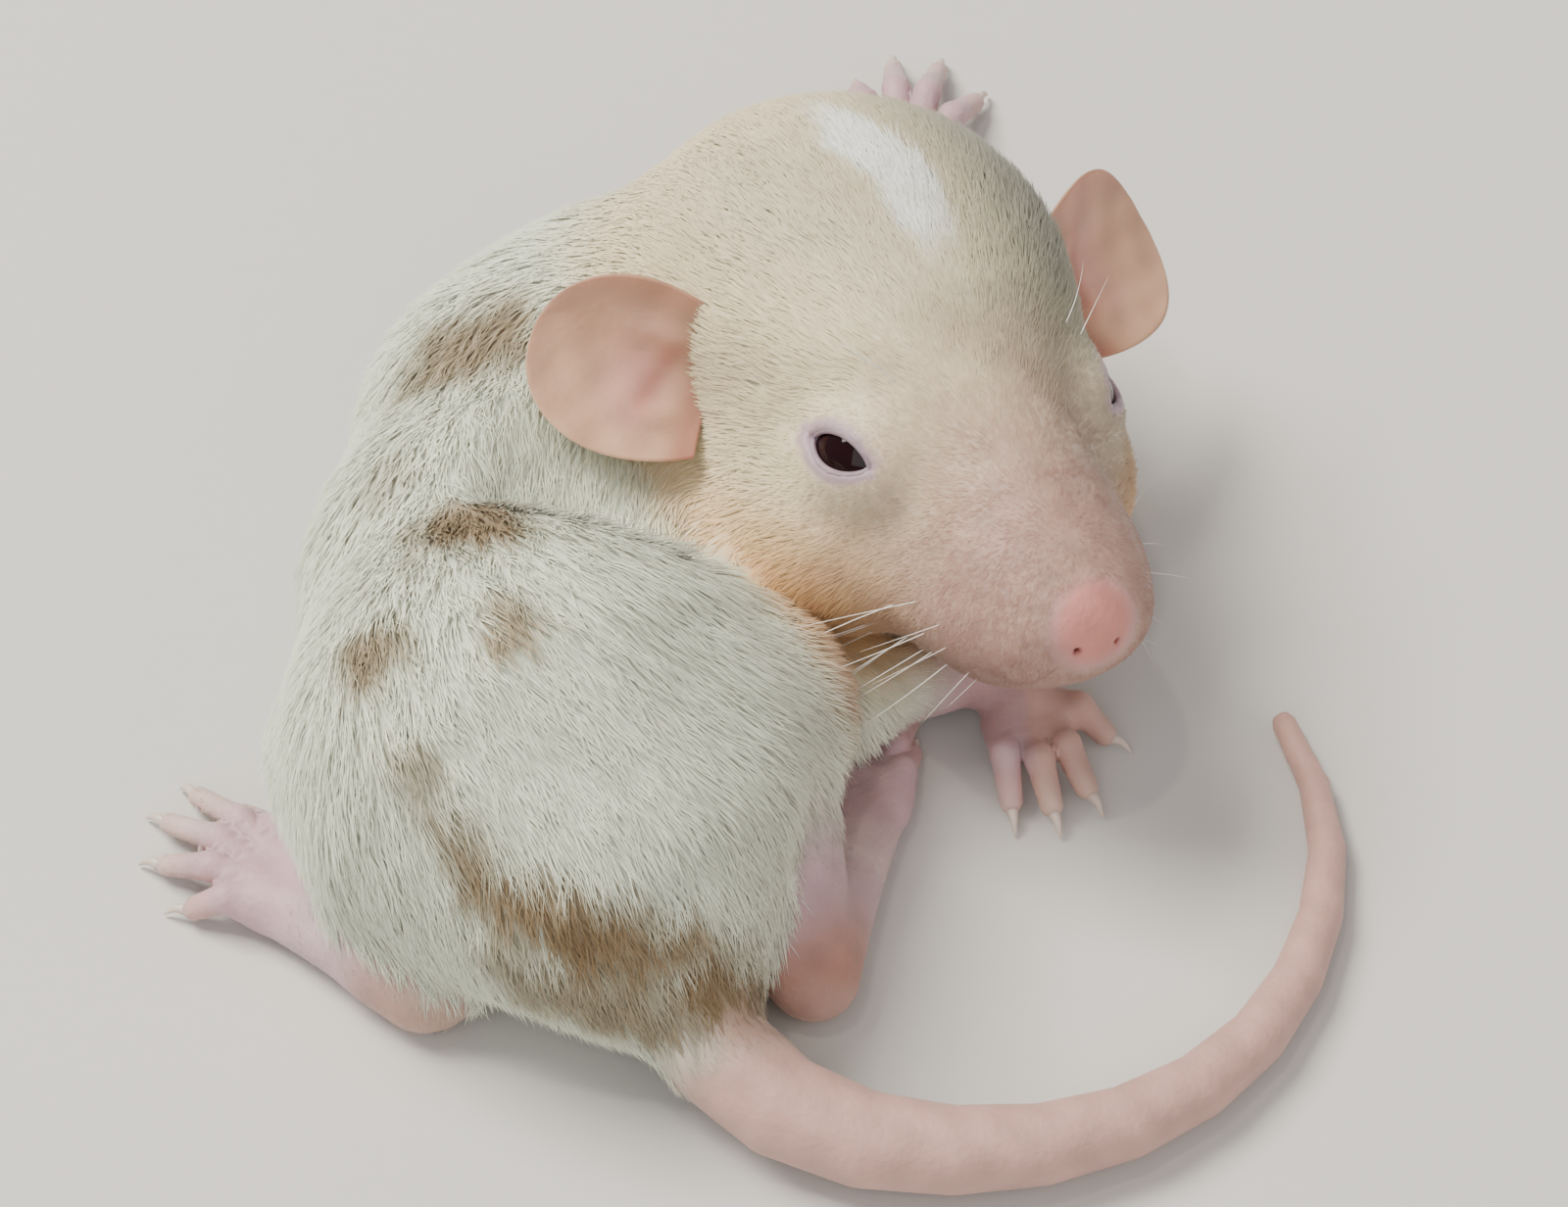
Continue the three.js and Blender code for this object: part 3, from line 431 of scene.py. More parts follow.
class Rig:
    """All the forms of the body and the fields made from them."""

    def __init__(self) -> None:
        """Lays out the tail's middle line."""
        self.tail = through(TAIL_ROUTE, TAIL_POINTS)
        t = np.linspace(0, 1, TAIL_POINTS)
        self.tail_radius = TAIL_RADII[0] + (TAIL_RADII[1] - TAIL_RADII[0]) * t**0.85

    def head(self, p: Array) -> Array:
        """Field of the head.

        Args:
            p: points in the rig.
        Returns:
            The field at each.
        """
        h = to_head(p)
        forms = [
            ellipsoid(h, vec(-4.2, 0, 2.5), vec(11.2, 9.8, 9.1)),
            ellipsoid(h, vec(-6.0, 0, -2.8), vec(8.2, 8.8, 7.2)),
            rod(h, vec(3, 0, 1.6), 6.3, vec(11.0, 0, -2.2), 3.8),
            rod(h, vec(11.2, 0, -2.6), 3.4, vec(14.9, 0, -3.5), 2.0),
            rod(h, vec(4, 0, -5.6), 3.4, vec(11.4, 0, -6.2), 1.5),
        ]
        for s in (-1, 1):
            forms.append(ellipsoid(h, vec(1.2, 4.9 * s, -3.6), vec(7.8, 5.1, 5.4)))
        for s in (-1, 1):
            forms.append(ellipsoid(h, vec(11.4, 2.1 * s, -4.2), vec(4.4, 2.7, 2.6)))
        bulges = [np.linalg.norm(h - eye.ball, axis=1) - (EYE_RADIUS + 0.5) for eye in EYES.values()]
        return blend(1.6, blend(3.2, *forms), *bulges)

    def face_details(self, p: Array, d: Array) -> Array:
        """Cuts the eye openings, nostrils and the line of the mouth into the head.

        Args:
            p: points in the rig.
            d: the skin's field there.
        Returns:
            The field with the cuts.
        """
        h = to_head(p)
        near = (h[:, 0] > 1) & (np.abs(d) < 3)
        if not near.any():
            return d
        q, e = h[near], d[near]
        for eye in EYES.values():
            e = -soft_min(-e, eye.opening(q), 0.25)
        for s in (-1, 1):
            e = -soft_min(-e, rod(q, vec(15.2, 0.7 * s, -3.8), 0.12, vec(16.8, 0.95 * s, -3.9), 0.16), 0.3)
            e = -soft_min(-e, rod(q, vec(16.5, 0.95 * s, -3.85), 0.12, vec(15.9, 1.6 * s, -3.4), 0.06), 0.25)
        mouth = self.mouth_line()
        line = np.full(len(q), 9.0)
        for a, b in zip(mouth[:-1], mouth[1:]):
            for s in (-1, 1):
                flip = vec(1, s, 1)
                line = np.minimum(line, rod(q, a * flip, 0.16, b * flip, 0.16))
        crease = rod(q, vec(16.5, 0, -4.5), 0.08, vec(15.6, 0, -5.3), 0.16)
        e = -soft_min(-e, np.minimum(line, crease), 0.45)
        out = d.copy()
        out[near] = e
        return out

    def mouth_line(self) -> Array:
        """The left half of the line between the lips, in the head's frame.

        Returns:
            Points from the middle of the lip to the corner of the mouth.
        """
        return np.array([(15.6, 0.0, -5.4), (14.4, 1.5, -6.0), (12.4, 2.9, -6.0), (10.0, 3.9, -5.7)])

    def torso_parts(self, p: Array) -> tuple[Array, Array]:
        """Fields of the trunk and the neck.

        Args:
            p: points in the rig.
        Returns:
            The trunk's field and the neck's.
        """
        rods = [rod(p, vec(*a[:3]), a[3], vec(*b[:3]), b[3]) for a, b in zip(SPINE, SPINE[1:])]
        trunk = blend(2, blend(3, *rods), ellipsoid(p, vec(*BELLY[0]), vec(*BELLY[1])))
        (a, b) = NECK
        return trunk, rod(p, vec(*a[:3]), a[3], vec(*b[:3]), b[3])

    def tail_field(self, p: Array) -> Array:
        """Field of the tail.

        Args:
            p: points in the rig.
        Returns:
            The field at each.
        """
        d = np.full(len(p), 99.0)
        box = (p[:, 1] < 12) & (p[:, 0] > -22) & (p[:, 2] < 11)
        q = p[box]
        if len(q) == 0:
            return d
        e = np.full(len(q), 99.0)
        for i in range(0, TAIL_POINTS - 1, TAIL_STEP):
            j = i + TAIL_STEP
            e = np.minimum(e, rod(q, self.tail[i], self.tail_radius[i], self.tail[j], self.tail_radius[j]))
        d[box] = e
        return d

    def leg_parts(self, leg: Leg, p: Array) -> tuple[Array, Array, Array]:
        """Fields of a leg's upper and lower parts and of its foot with toes.

        Args:
            leg: the leg.
            p: points in the rig.
        Returns:
            The three fields.
        """
        joints = (leg.hip, leg.knee, leg.ankle, leg.heel, leg.ball)
        hip, knee, ankle, heel, ball = (vec(*j[:3]) for j in joints)
        upper = rod(p, hip, leg.hip[3], knee, leg.knee[3])
        lower = rod(p, knee, leg.knee[3] * 0.84, ankle, leg.ankle[3])
        along = unit((ball - heel) * vec(1, 1, 0))
        across = vec(-along[1], along[0], 0) * leg.ball[3] * 0.75
        rails = [rod(p, heel, leg.heel[3], ball + across * s, leg.ball[3]) for s in (-1, 1)]
        foot = blend(0.8, *rails)
        near = foot < 9
        if near.any():
            q = p[near]
            toes = np.full(len(q), 99.0)
            for root, knuckle, tip in leg.toe_lines():
                one = blend(
                    0.3,
                    rod(q, root, TOE_RADIUS * 1.02, knuckle, TOE_RADIUS * 0.9),
                    rod(q, knuckle, TOE_RADIUS * 0.9, tip, TOE_RADIUS * 0.8),
                )
                toes = np.minimum(toes, one)
            foot[near] = soft_min(foot[near], toes, 0.7)
        return upper, lower, foot

    def whole(self, p: Array) -> tuple[Array, dict[Part, Array]]:
        """The field of the whole body as the solids have it, and of each part.

        Args:
            p: points in the rig.
        Returns:
            The whole's field and a field for each part.
        """
        trunk, neck = self.torso_parts(p)
        hollow = ear_hollow(p)
        trunk, neck = (-soft_min(-form, hollow, 1.2) for form in (trunk, neck))
        head = self.head(p)
        tail = self.tail_field(p)
        parts = {Part.HEAD: head, Part.TRUNK: np.minimum(trunk, neck), Part.TAIL: tail}
        torso = blend(4, blend(2, trunk, tail), neck)
        d = blend(3, torso, head)
        for part, leg in LEGS.items():
            upper, lower, foot = self.leg_parts(leg, p)
            if part is Part.FORE_RIGHT:
                upper = -soft_min(-upper, hollow, 1.2)
            limb = blend(0.9, blend(1.2, upper, lower), foot)
            parts[part] = limb
            d = np.minimum(d, blend(leg.soft, torso, limb))
        return d, parts


RIG = Rig()
# How high the coat stands above the skin, in millimetres.
TRUNK_COAT = 0.5
HEAD_COAT = 0.32
FACE_COAT = 0.08
LEG_COAT = 0.4
BARE_COAT = 0.04


def coat_depth(p: Array, parts: dict[Part, Array]) -> Array:
    """How far the skin lies inside the solids: the height of the coat.

    Args:
        p: points in the rig.
        parts: each part's field there.
    Returns:
        The depth in millimetres.
    """
    h = to_head(p)
    face = smoothstep(0, 13, h[:, 0])
    head_depth = HEAD_COAT * (1 - face) + FACE_COAT
    names = list(parts)
    stack = np.stack([parts[n] for n in names])
    weights = np.exp(-np.clip(stack - stack.min(0), 0, 20) / 1.2)
    weights /= weights.sum(0)
    depth = np.zeros(len(p))
    for name, w in zip(names, weights):
        if name is Part.HEAD:
            depth += w * head_depth
        elif name is Part.TRUNK:
            depth += w * TRUNK_COAT
        elif name is Part.TAIL:
            depth += w * BARE_COAT
        else:
            depth += w * (LEG_COAT * furry_leg(name, p) + BARE_COAT)
    return depth


def furry_leg(part: Part, p: Array) -> Array:
    """How furry a place on a leg is: 1 on the thigh or arm, 0 from the ankle down.

    Args:
        part: the leg.
        p: points in the rig.
    Returns:
        A number from 0 to 1 at each point.
    """
    leg = LEGS[part]
    knee, ankle = vec(*leg.knee[:3]), vec(*leg.ankle[:3])
    to_ankle = np.linalg.norm(p - ankle, axis=1) / np.linalg.norm(knee - ankle)
    to_ball = np.linalg.norm(p - vec(*leg.ball[:3]), axis=1) - leg.ball[3]
    high = smoothstep(2.0, 4.5, p[:, 2])
    return smoothstep(0.25, 0.85, to_ankle) * smoothstep(1.0, 4.5, to_ball) * np.maximum(high, 0.25)


def skin_field(p: Array) -> Array:
    """The field of the skin under the coat.

    Args:
        p: points in the rig.
    Returns:
        The field at each.
    """
    d, parts = RIG.whole(p)
    d = d + coat_depth(p, parts)
    d = RIG.face_details(p, d)
    return -soft_min(-d, p[:, 2] - 0.02, 0.2)


def in_chunks(f: Field, p: Array, size: int = CHUNK) -> Array:
    """Runs a field over many points a part at a time.

    Args:
        f: the field.
        p: points.
        size: points in one part.
    Returns:
        The field at every point.
    """
    return np.concatenate([f(p[i : i + size]) for i in range(0, len(p), size)])


def gradient(f: Field, p: Array, step: float = 0.06) -> Array:
    """The slope of a field.

    Args:
        f: the field.
        p: points.
        step: distance between the samples.
    Returns:
        A vector at each point.
    """
    g = np.zeros_like(p)
    for k in range(3):
        e = np.zeros(3)
        e[k] = step
        g[:, k] = (in_chunks(f, p + e) - in_chunks(f, p - e)) / (2 * step)
    return g


# The skin.


def graded(low: float, high: float, fine_low: float, fine_high: float, fine: float, coarse: float) -> Array:
    """Grid lines that stand closer together over one stretch.

    Args:
        low: first line.
        high: last line.
        fine_low: where the close stretch starts.
        fine_high: where it ends.
        fine: spacing in it.
        coarse: spacing outside it.
    Returns:
        The lines' places.
    """
    a = np.arange(fine_low, low - coarse, -coarse)[::-1]
    b = np.arange(fine_low + fine, fine_high, fine)
    c = np.arange(fine_high, high + coarse, coarse)
    return np.concatenate([a, b, c])


def surface_net(axes: list[Array], f: Field) -> tuple[Array, Array]:
    """Closed mesh of a field's zero surface on a grid of uneven lines.

    Args:
        axes: the grid's lines along x, y and z.
        f: the field.
    Returns:
        Its vertices and its four-sided faces.
    """
    nx, ny, nz = (len(a) for a in axes)
    coarse = [a[::3] for a in axes]
    cg = np.stack(np.meshgrid(*coarse, indexing="ij"), -1).reshape(-1, 3)
    rough = in_chunks(f, cg).reshape([len(a) for a in coarse])
    grid = np.stack(np.meshgrid(*axes, indexing="ij"), -1).reshape(-1, 3)
    index = np.meshgrid(*[np.minimum(np.round(np.arange(n) / 3).astype(int), len(c) - 1)
                          for n, c in zip((nx, ny, nz), coarse)], indexing="ij")
    guess = rough[index[0], index[1], index[2]].reshape(-1)
    value = guess.copy()
    near = np.abs(guess) < 3.2
    value[near] = in_chunks(f, grid[near])
    value = value.reshape(nx, ny, nz)
    inside = value < 0
    cells = (nx - 1) * (ny - 1) * (nz - 1)
    total = np.zeros((cells, 3))
    count = np.zeros(cells)

    def cell(i: Array, j: Array, k: Array) -> Array:
        """The number of a cell.

        Args:
            i: its place along x.
            j: its place along y.
            k: its place along z.
        Returns:
            The number.
        """
        return (i * (ny - 1) + j) * (nz - 1) + k

    quads = []
    for axis in range(3):
        a = [slice(None)] * 3
        b = [slice(None)] * 3
        a[axis], b[axis] = slice(None, -1), slice(1, None)
        va, vb = value[tuple(a)], value[tuple(b)]
        cross = inside[tuple(a)] != inside[tuple(b)]
        i, j, k = np.nonzero(cross)
        t = va[i, j, k] / (va[i, j, k] - vb[i, j, k])
        idx = [i, j, k]
        point = np.stack([axes[m][idx[m]] for m in range(3)], -1)
        nxt = axes[axis][idx[axis] + 1]
        point[:, axis] += t * (nxt - point[:, axis])
        p, q = (axis + 1) % 3, (axis + 2) % 3
        ring = []
        ok = (idx[p] > 0) & (idx[q] > 0)
        ok &= (idx[p] < value.shape[p] - 1) & (idx[q] < value.shape[q] - 1)
        for dp, dq in ((0, 0), (1, 0), (1, 1), (0, 1)):
            c = [v.copy() for v in idx]
            c[p] = c[p] - dp
            c[q] = c[q] - dq
            n = cell(*c)
            ring.append(n)
            for m in range(3):
                total[:, m] += np.bincount(n[ok], point[ok, m], cells)
            count += np.bincount(n[ok], None, cells)
        ring = np.stack(ring, 1)[ok]
        flip = ~inside[tuple(a)][i, j, k][ok]
        ring[flip] = ring[flip][:, ::-1]
        quads.append(ring)
    quads = np.concatenate(quads)
    used = np.unique(quads)
    vertices = total[used] / count[used, None]
    return vertices, np.searchsorted(used, quads)


# First and last line of the skin's grid along x, y and z, and where its close stretch over the face lies.
SKIN_GRID = ((-43.5, 12.5, -8.5, 2.5), (-21.5, 49.5, -2.0, 12.0), (-0.9, 24.0, 7.0, 17.5))


@dataclass
class Skin:
    """The skin's mesh in the rig with what is known at each of its vertices."""

    vertices: Array
    quads: Array
    normals: Array = field(default_factory=lambda: np.zeros((0, 3)))
    parts: dict[Part, Array] = field(default_factory=dict)
    flow: Array = field(default_factory=lambda: np.zeros((0, 3)))
    uv: Array = field(default_factory=lambda: np.zeros((0, 4, 2)))

    @staticmethod
    def grow(fine: float, coarse: float) -> "Skin":
        """Draws the skin over the rig.

        Args:
            fine: grid spacing at the face.
            coarse: grid spacing elsewhere.
        Returns:
            The skin with its normals, lie of the coat and unwrap.
        """
        axes = [graded(*limits, fine, coarse) for limits in SKIN_GRID]
        vertices, quads = surface_net(axes, skin_field)
        for _ in range(2):
            g = gradient(skin_field, vertices)
            d = in_chunks(skin_field, vertices)
            step = g * (d / np.maximum((g * g).sum(1), 0.25))[:, None]
            size = np.linalg.norm(step, axis=1, keepdims=True)
            vertices = vertices - step * np.minimum(1, 0.2 / np.maximum(size, 1e-9))
        skin = Skin(vertices, quads)
        skin.normals = unit(gradient(skin_field, vertices))
        pieces = [RIG.whole(vertices[i : i + CHUNK])[1] for i in range(0, len(vertices), CHUNK)]
        skin.parts = {k: np.concatenate([piece[k] for piece in pieces]) for k in pieces[0]}
        skin.flow = lie_of_coat(skin)
        skin.uv = unwrap(skin)
        log.info("skin: %d vertices, %d faces", len(vertices), len(quads))
        return skin


def lie_of_coat(skin: Skin) -> Array:
    """Which way the fur lies at each vertex: from the nose back, down the flanks and down the legs.

    Args:
        skin: the skin.
    Returns:
        Directions along the surface.
    """
    p = skin.vertices
    total = np.zeros_like(p)
    nearest = np.stack(list(skin.parts.values())).min(0)

    def push(distance: Array, direction: Array) -> None:
        """Adds one part's direction by how near that part is.

        Args:
            distance: the part's field at each vertex.
            direction: which way the fur lies on it.
        """
        nonlocal total
        total += unit(direction) * np.exp(-np.clip(distance - nearest, 0, 30) / 1.6)[:, None]

    muzzle = from_head(vec(16, 0, 0.5))
    push(skin.parts[Part.HEAD], p - muzzle + HEAD_UP * -1.0)
    line = through(tuple(s[:3] for s in ((-8.0, 24.0, 11.0),) + SPINE), 30)
    closest = np.argmin(((p[:, None, :] - line[None, :-1, :]) ** 2).sum(2), axis=1)
    tangent = unit(np.diff(line, axis=0))[closest]
    away = unit(p - line[closest])
    down = vec(0, 0, -1) * (0.35 + 0.5 * np.abs(away[:, 2:3] < 0.6))
    push(skin.parts[Part.TRUNK], tangent + down * 0.8)
    for part, leg in LEGS.items():
        hip, knee, ankle = (vec(*j[:3]) for j in (leg.hip, leg.knee, leg.ankle))
        high = rod(p, hip, leg.hip[3], knee, leg.knee[3])
        low = rod(p, knee, leg.knee[3] * 0.84, ankle, leg.ankle[3])
        share = smoothstep(-1, 1, high - low)[:, None]
        along = unit(knee - hip) * (1 - share) * 0.7 + unit(ankle - knee) * share + vec(0, 0, -0.5)
        push(skin.parts[part] + 0.5, along)
    near = np.argmin(((p[:, None, :] - RIG.tail[None, :-1, :]) ** 2).sum(2), axis=1)
    push(skin.parts[Part.TAIL], np.diff(RIG.tail, axis=0)[near])
    n = skin.normals
    flat = total - n * (total * n).sum(1, keepdims=True)
    return unit(flat)


def unwrap(skin: Skin) -> Array:
    """Lays the skin out flat: each part is split by the way its faces look, and each piece gets a square.

    Args:
        skin: the skin.
    Returns:
        A place in the unit square for each corner of each face.
    """
    names = list(skin.parts)
    label = np.argmin(np.stack([skin.parts[n] for n in names]), axis=0)
    corner = skin.vertices[skin.quads]
    normal = unit(skin.normals[skin.quads].mean(1))
    axis = np.argmax(np.abs(normal), axis=1)
    sign = (normal[np.arange(len(normal)), axis] > 0).astype(int)
    island = label[skin.quads[:, 0]] * 6 + axis * 2 + sign
    groups = np.unique(island)
    across = math.ceil(math.sqrt(len(groups)))
    uv = np.zeros((len(skin.quads), 4, 2))
    for n, group in enumerate(groups):
        pick = island == group
        a = group % 6 // 2
        flat = corner[pick][:, :, [(a + 1) % 3, (a + 2) % 3]]
        low = flat.reshape(-1, 2).min(0)
        size = max((flat.reshape(-1, 2).max(0) - low).max(), 1e-6)
        place = vec(n % across, n // across)
        uv[pick] = (place + 0.04 + 0.92 * (flat - low) / size) / across
    return uv


# Colours.


@dataclass(frozen=True)
class Spot:
    """A soft-edged marking: its place in the rig, radius, strength and how far it is drawn out."""

    at: tuple[float, float, float]
    radius: float
    strength: float
    along: tuple[float, float, float] = (0, 0, 1)
    stretch: float = 1.0


@dataclass(frozen=True)
class Palette:
    """Linear colours of the coat and the bare skin."""

    white: Colour = (0.80, 0.84, 0.66)
    cream: Colour = (0.78, 0.64, 0.40)
    olive: Colour = (0.38, 0.37, 0.28)
    tan: Colour = (0.78, 0.44, 0.18)
    spot: Colour = (0.25, 0.165, 0.08)
    blaze: Colour = (0.88, 0.90, 0.84)
    muzzle: Colour = (0.38, 0.20, 0.165)
    foot: Colour = (0.50, 0.33, 0.35)
    heel: Colour = (0.36, 0.15, 0.08)
    under_fur: Colour = (0.55, 0.44, 0.37)
    toe: Colour = (0.56, 0.28, 0.26)
    tail: Colour = (0.52, 0.31, 0.26)
    nose: Colour = (0.56, 0.22, 0.18)
    lid_skin: Colour = (0.40, 0.29, 0.33)
    lid_rim: Colour = (0.30, 0.21, 0.25)
    ear: Colour = (0.58, 0.35, 0.22)
    ear_edge: Colour = (0.36, 0.22, 0.145)
    ear_hollow: Colour = (0.60, 0.31, 0.26)
    # Painted shade in the crease of the ear's fold.
    ear_fold_painted_shade: Colour = (0.40, 0.15, 0.11)
    # Painted shade in the hollow at the root of the ear.
    ear_root_painted_shade: Colour = (0.36, 0.14, 0.10)
    eye: Colour = (0.010, 0.002, 0.003)
    claw: Colour = (0.62, 0.52, 0.45)
    whisker: Colour = (0.78, 0.75, 0.68)
    floor: Colour = (0.62, 0.60, 0.57)


PALETTE = Palette()
SPOTS = (
    Spot((-26.9, 16.0, 15.1), 2.9, 0.85, (0.8, 0.5, 0.2), 1.5),
    Spot((-30.3, 7.1, 15.8), 1.9, 0.35),
    Spot((-26.8, 1.6, 18.9), 2.7, 0.95, (0.6, -0.6, 0.2), 1.25),
    Spot((-24.8, -5.1, 20.7), 1.7, 0.85),
    Spot((-30.7, -5.3, 18.4), 2.1, 0.85),
    Spot((-28.9, -10.1, 17.1), 1.5, 0.6),
    Spot((-26.8, -12.6, 15.2), 1.6, 0.75, (0.6, -0.6, -0.3), 1.5),
    Spot((-24.0, -14.4, 13.4), 1.9, 0.95, (0.85, -0.35, -0.35), 2.4),
    Spot((-19.7, -15.1, 11.6), 2.3, 0.95, (0.85, -0.1, -0.45), 1.8),
    Spot((-15.4, -14.8, 7.6), 2.4, 0.95, (0.7, 0.2, -0.6), 1.8),
    Spot((-21.5, -15.6, 8.5), 2.6, 0.8, (0.9, -0.1, -0.3), 2.4),
    Spot((-30.2, -14.0, 8.5), 1.3, 0.4, (0.3, 0.2, 0.8), 2.0),
)


def ripple(p: Array, scale: float, seed: int) -> Array:
    """Smooth noise from a few sine waves, between about -1 and 1.

    Args:
        p: points.
        scale: wavelength in millimetres.
        seed: which noise.
    Returns:
        The noise at each point.
    """
    rng = np.random.default_rng(seed)
    out = np.zeros(len(p))
    for _ in range(7):
        k = unit(rng.normal(size=3)) * 2 * math.pi / scale * rng.uniform(0.7, 1.6)
        out += np.sin(p @ k + rng.uniform(0, 2 * math.pi))
    return out / 2.6


def mix(a: Array, b: Colour, t: Array) -> Array:
    """Colours moved towards another colour.

    Args:
        a: colours.
        b: the other colour.
        t: how far at each, from 0 to 1.
    Returns:
        The mixed colours.
    """
    t = np.clip(t, 0, 1)[:, None]
    return a * (1 - t) + np.array(b) * t


def coat_colour(p: Array, parts: dict[Part, Array]) -> Array:
    """The coat's colour, from where on the body a hair grows.

    Args:
        p: points in the rig.
        parts: each part's field there.
    Returns:
        Linear colours.
    """
    h = to_head(p)
    others = np.minimum.reduce([parts[Part.TRUNK], parts[Part.FORE_RIGHT], parts[Part.FORE_LEFT]])
    head = smoothstep(3.5, -0.5, parts[Part.HEAD] - others)
    colour = np.tile(np.array(PALETTE.white), (len(p), 1))
    colour = mix(colour, PALETTE.cream, head * 0.85)
    crown = head * smoothstep(4.5, 8, h[:, 2] + 0.25 * h[:, 1]) * smoothstep(-12, -2, h[:, 0])
    colour = mix(colour, PALETTE.olive, crown * 0.38 + head * smoothstep(0, 6, h[:, 1]) * 0.6)
    cheek = head * smoothstep(0.5, -4.0, h[:, 2]) * smoothstep(-14, -8, h[:, 0]) * smoothstep(13, 7, h[:, 0])
    colour = mix(colour, PALETTE.tan, cheek * 0.85)
    lane = ((h[:, 1] + 0.2 + 0.25 * ripple(p, 5, 6)) / 1.5) ** 2 + ((h[:, 0] + 1.5) / 5.0) ** 2
    blaze = head * smoothstep(1.5, 0.3, lane + 0.25 * ripple(p, 2.2, 8)) * smoothstep(5, 8, h[:, 2])
    colour = mix(colour, PALETTE.blaze, blaze)
    face = head * smoothstep(4.5, 13.5, h[:, 0] + 0.4 * ripple(p, 3, 5))
    colour = mix(colour, PALETTE.muzzle, face * 0.92)
    smudge = np.linalg.norm((h - vec(-1.5, 6.0, 7.5)) / vec(4.5, 2.2, 3.0), axis=1)
    colour = mix(colour, PALETTE.olive, head * smoothstep(1.4, 0.4, smudge) * 0.6)
    warp = ripple(p, 4.0, 11) * 0.5 + ripple(p, 1.7, 12) * 0.25
    for spot in SPOTS:
        q = p - np.array(spot.at)
        along = unit(np.array(spot.along, dtype=float))
        run = q @ along
        side = np.sqrt(np.maximum((q * q).sum(1) - run**2, 0))
        d = np.hypot(run / spot.stretch, side) / spot.radius + warp * 0.35
        colour = mix(colour, PALETTE.spot, (1 - head) * spot.strength * smoothstep(1.25, 0.45, d))
    shade = 1 + 0.05 * ripple(p, 7, 21) + 0.04 * ripple(p, 1.3, 22)
    return np.clip(colour * shade[:, None], 0, 1)


def skin_colour(p: Array, parts: dict[Part, Array], bare: Array) -> Array:
    """The skin's colour: the coat's markings where fur grows, and the bare skin's own where none does.

    Args:
        p: points in the rig.
        parts: each part's field there.
        bare: 1 where the skin is bare.
    Returns:
        Linear colours.
    """
    h = to_head(p)
    furred = coat_colour(p, parts) * 0.88 + np.array(PALETTE.under_fur) * 0.12
    naked = np.tile(np.array(PALETTE.foot), (len(p), 1))
    for part, leg in LEGS.items():
        heel = vec(*leg.heel[:3])
        near = smoothstep(4.5, 1.5, np.linalg.norm(p - heel, axis=1)) * (parts[part] < 1.5)
        hind = 1.0 if part in (Part.HIND_RIGHT, Part.HIND_LEFT) else 0.3
        naked = mix(naked, PALETTE.heel, near * 0.85 * hind)
        for _, _, tip in leg.toe_lines():
            at_tip = smoothstep(2.2, 0.8, np.linalg.norm(p - tip, axis=1))
            naked = mix(naked, PALETTE.toe, at_tip * 0.5)
    tail = smoothstep(1.0, -0.5, parts[Part.TAIL] - parts[Part.TRUNK])
    naked = mix(naked, PALETTE.tail, tail)
    nose = smoothstep(3.0, 1.2, np.linalg.norm(h - vec(17, 0, -2.8), axis=1))
    naked = mix(naked, PALETTE.nose, nose)
    lids = np.zeros(len(p))
    for eye in EYES.values():
        lids = np.maximum(lids, smoothstep(0.9, 0.2, eye.opening(h)) * (np.abs(h[:, 1] * eye.side - 5.5) < 3))
    colour = furred * (1 - bare[:, None]) + naked * bare[:, None]
    colour = mix(colour, PALETTE.lid_skin, lids * 0.85)
    return np.clip(colour * (1 + 0.06 * ripple(p, 2.2, 31))[:, None], 0, 1)


# Materials.


@dataclass(frozen=True)
class Finish:
    """How a surface takes light."""

    roughness: float
    subsurface: float = 0.0
    sheen: float = 0.0
    bump: float = 0.0
    bump_scale: float = 1.0
    specular: float = 0.5
    mottle: float = 0.08


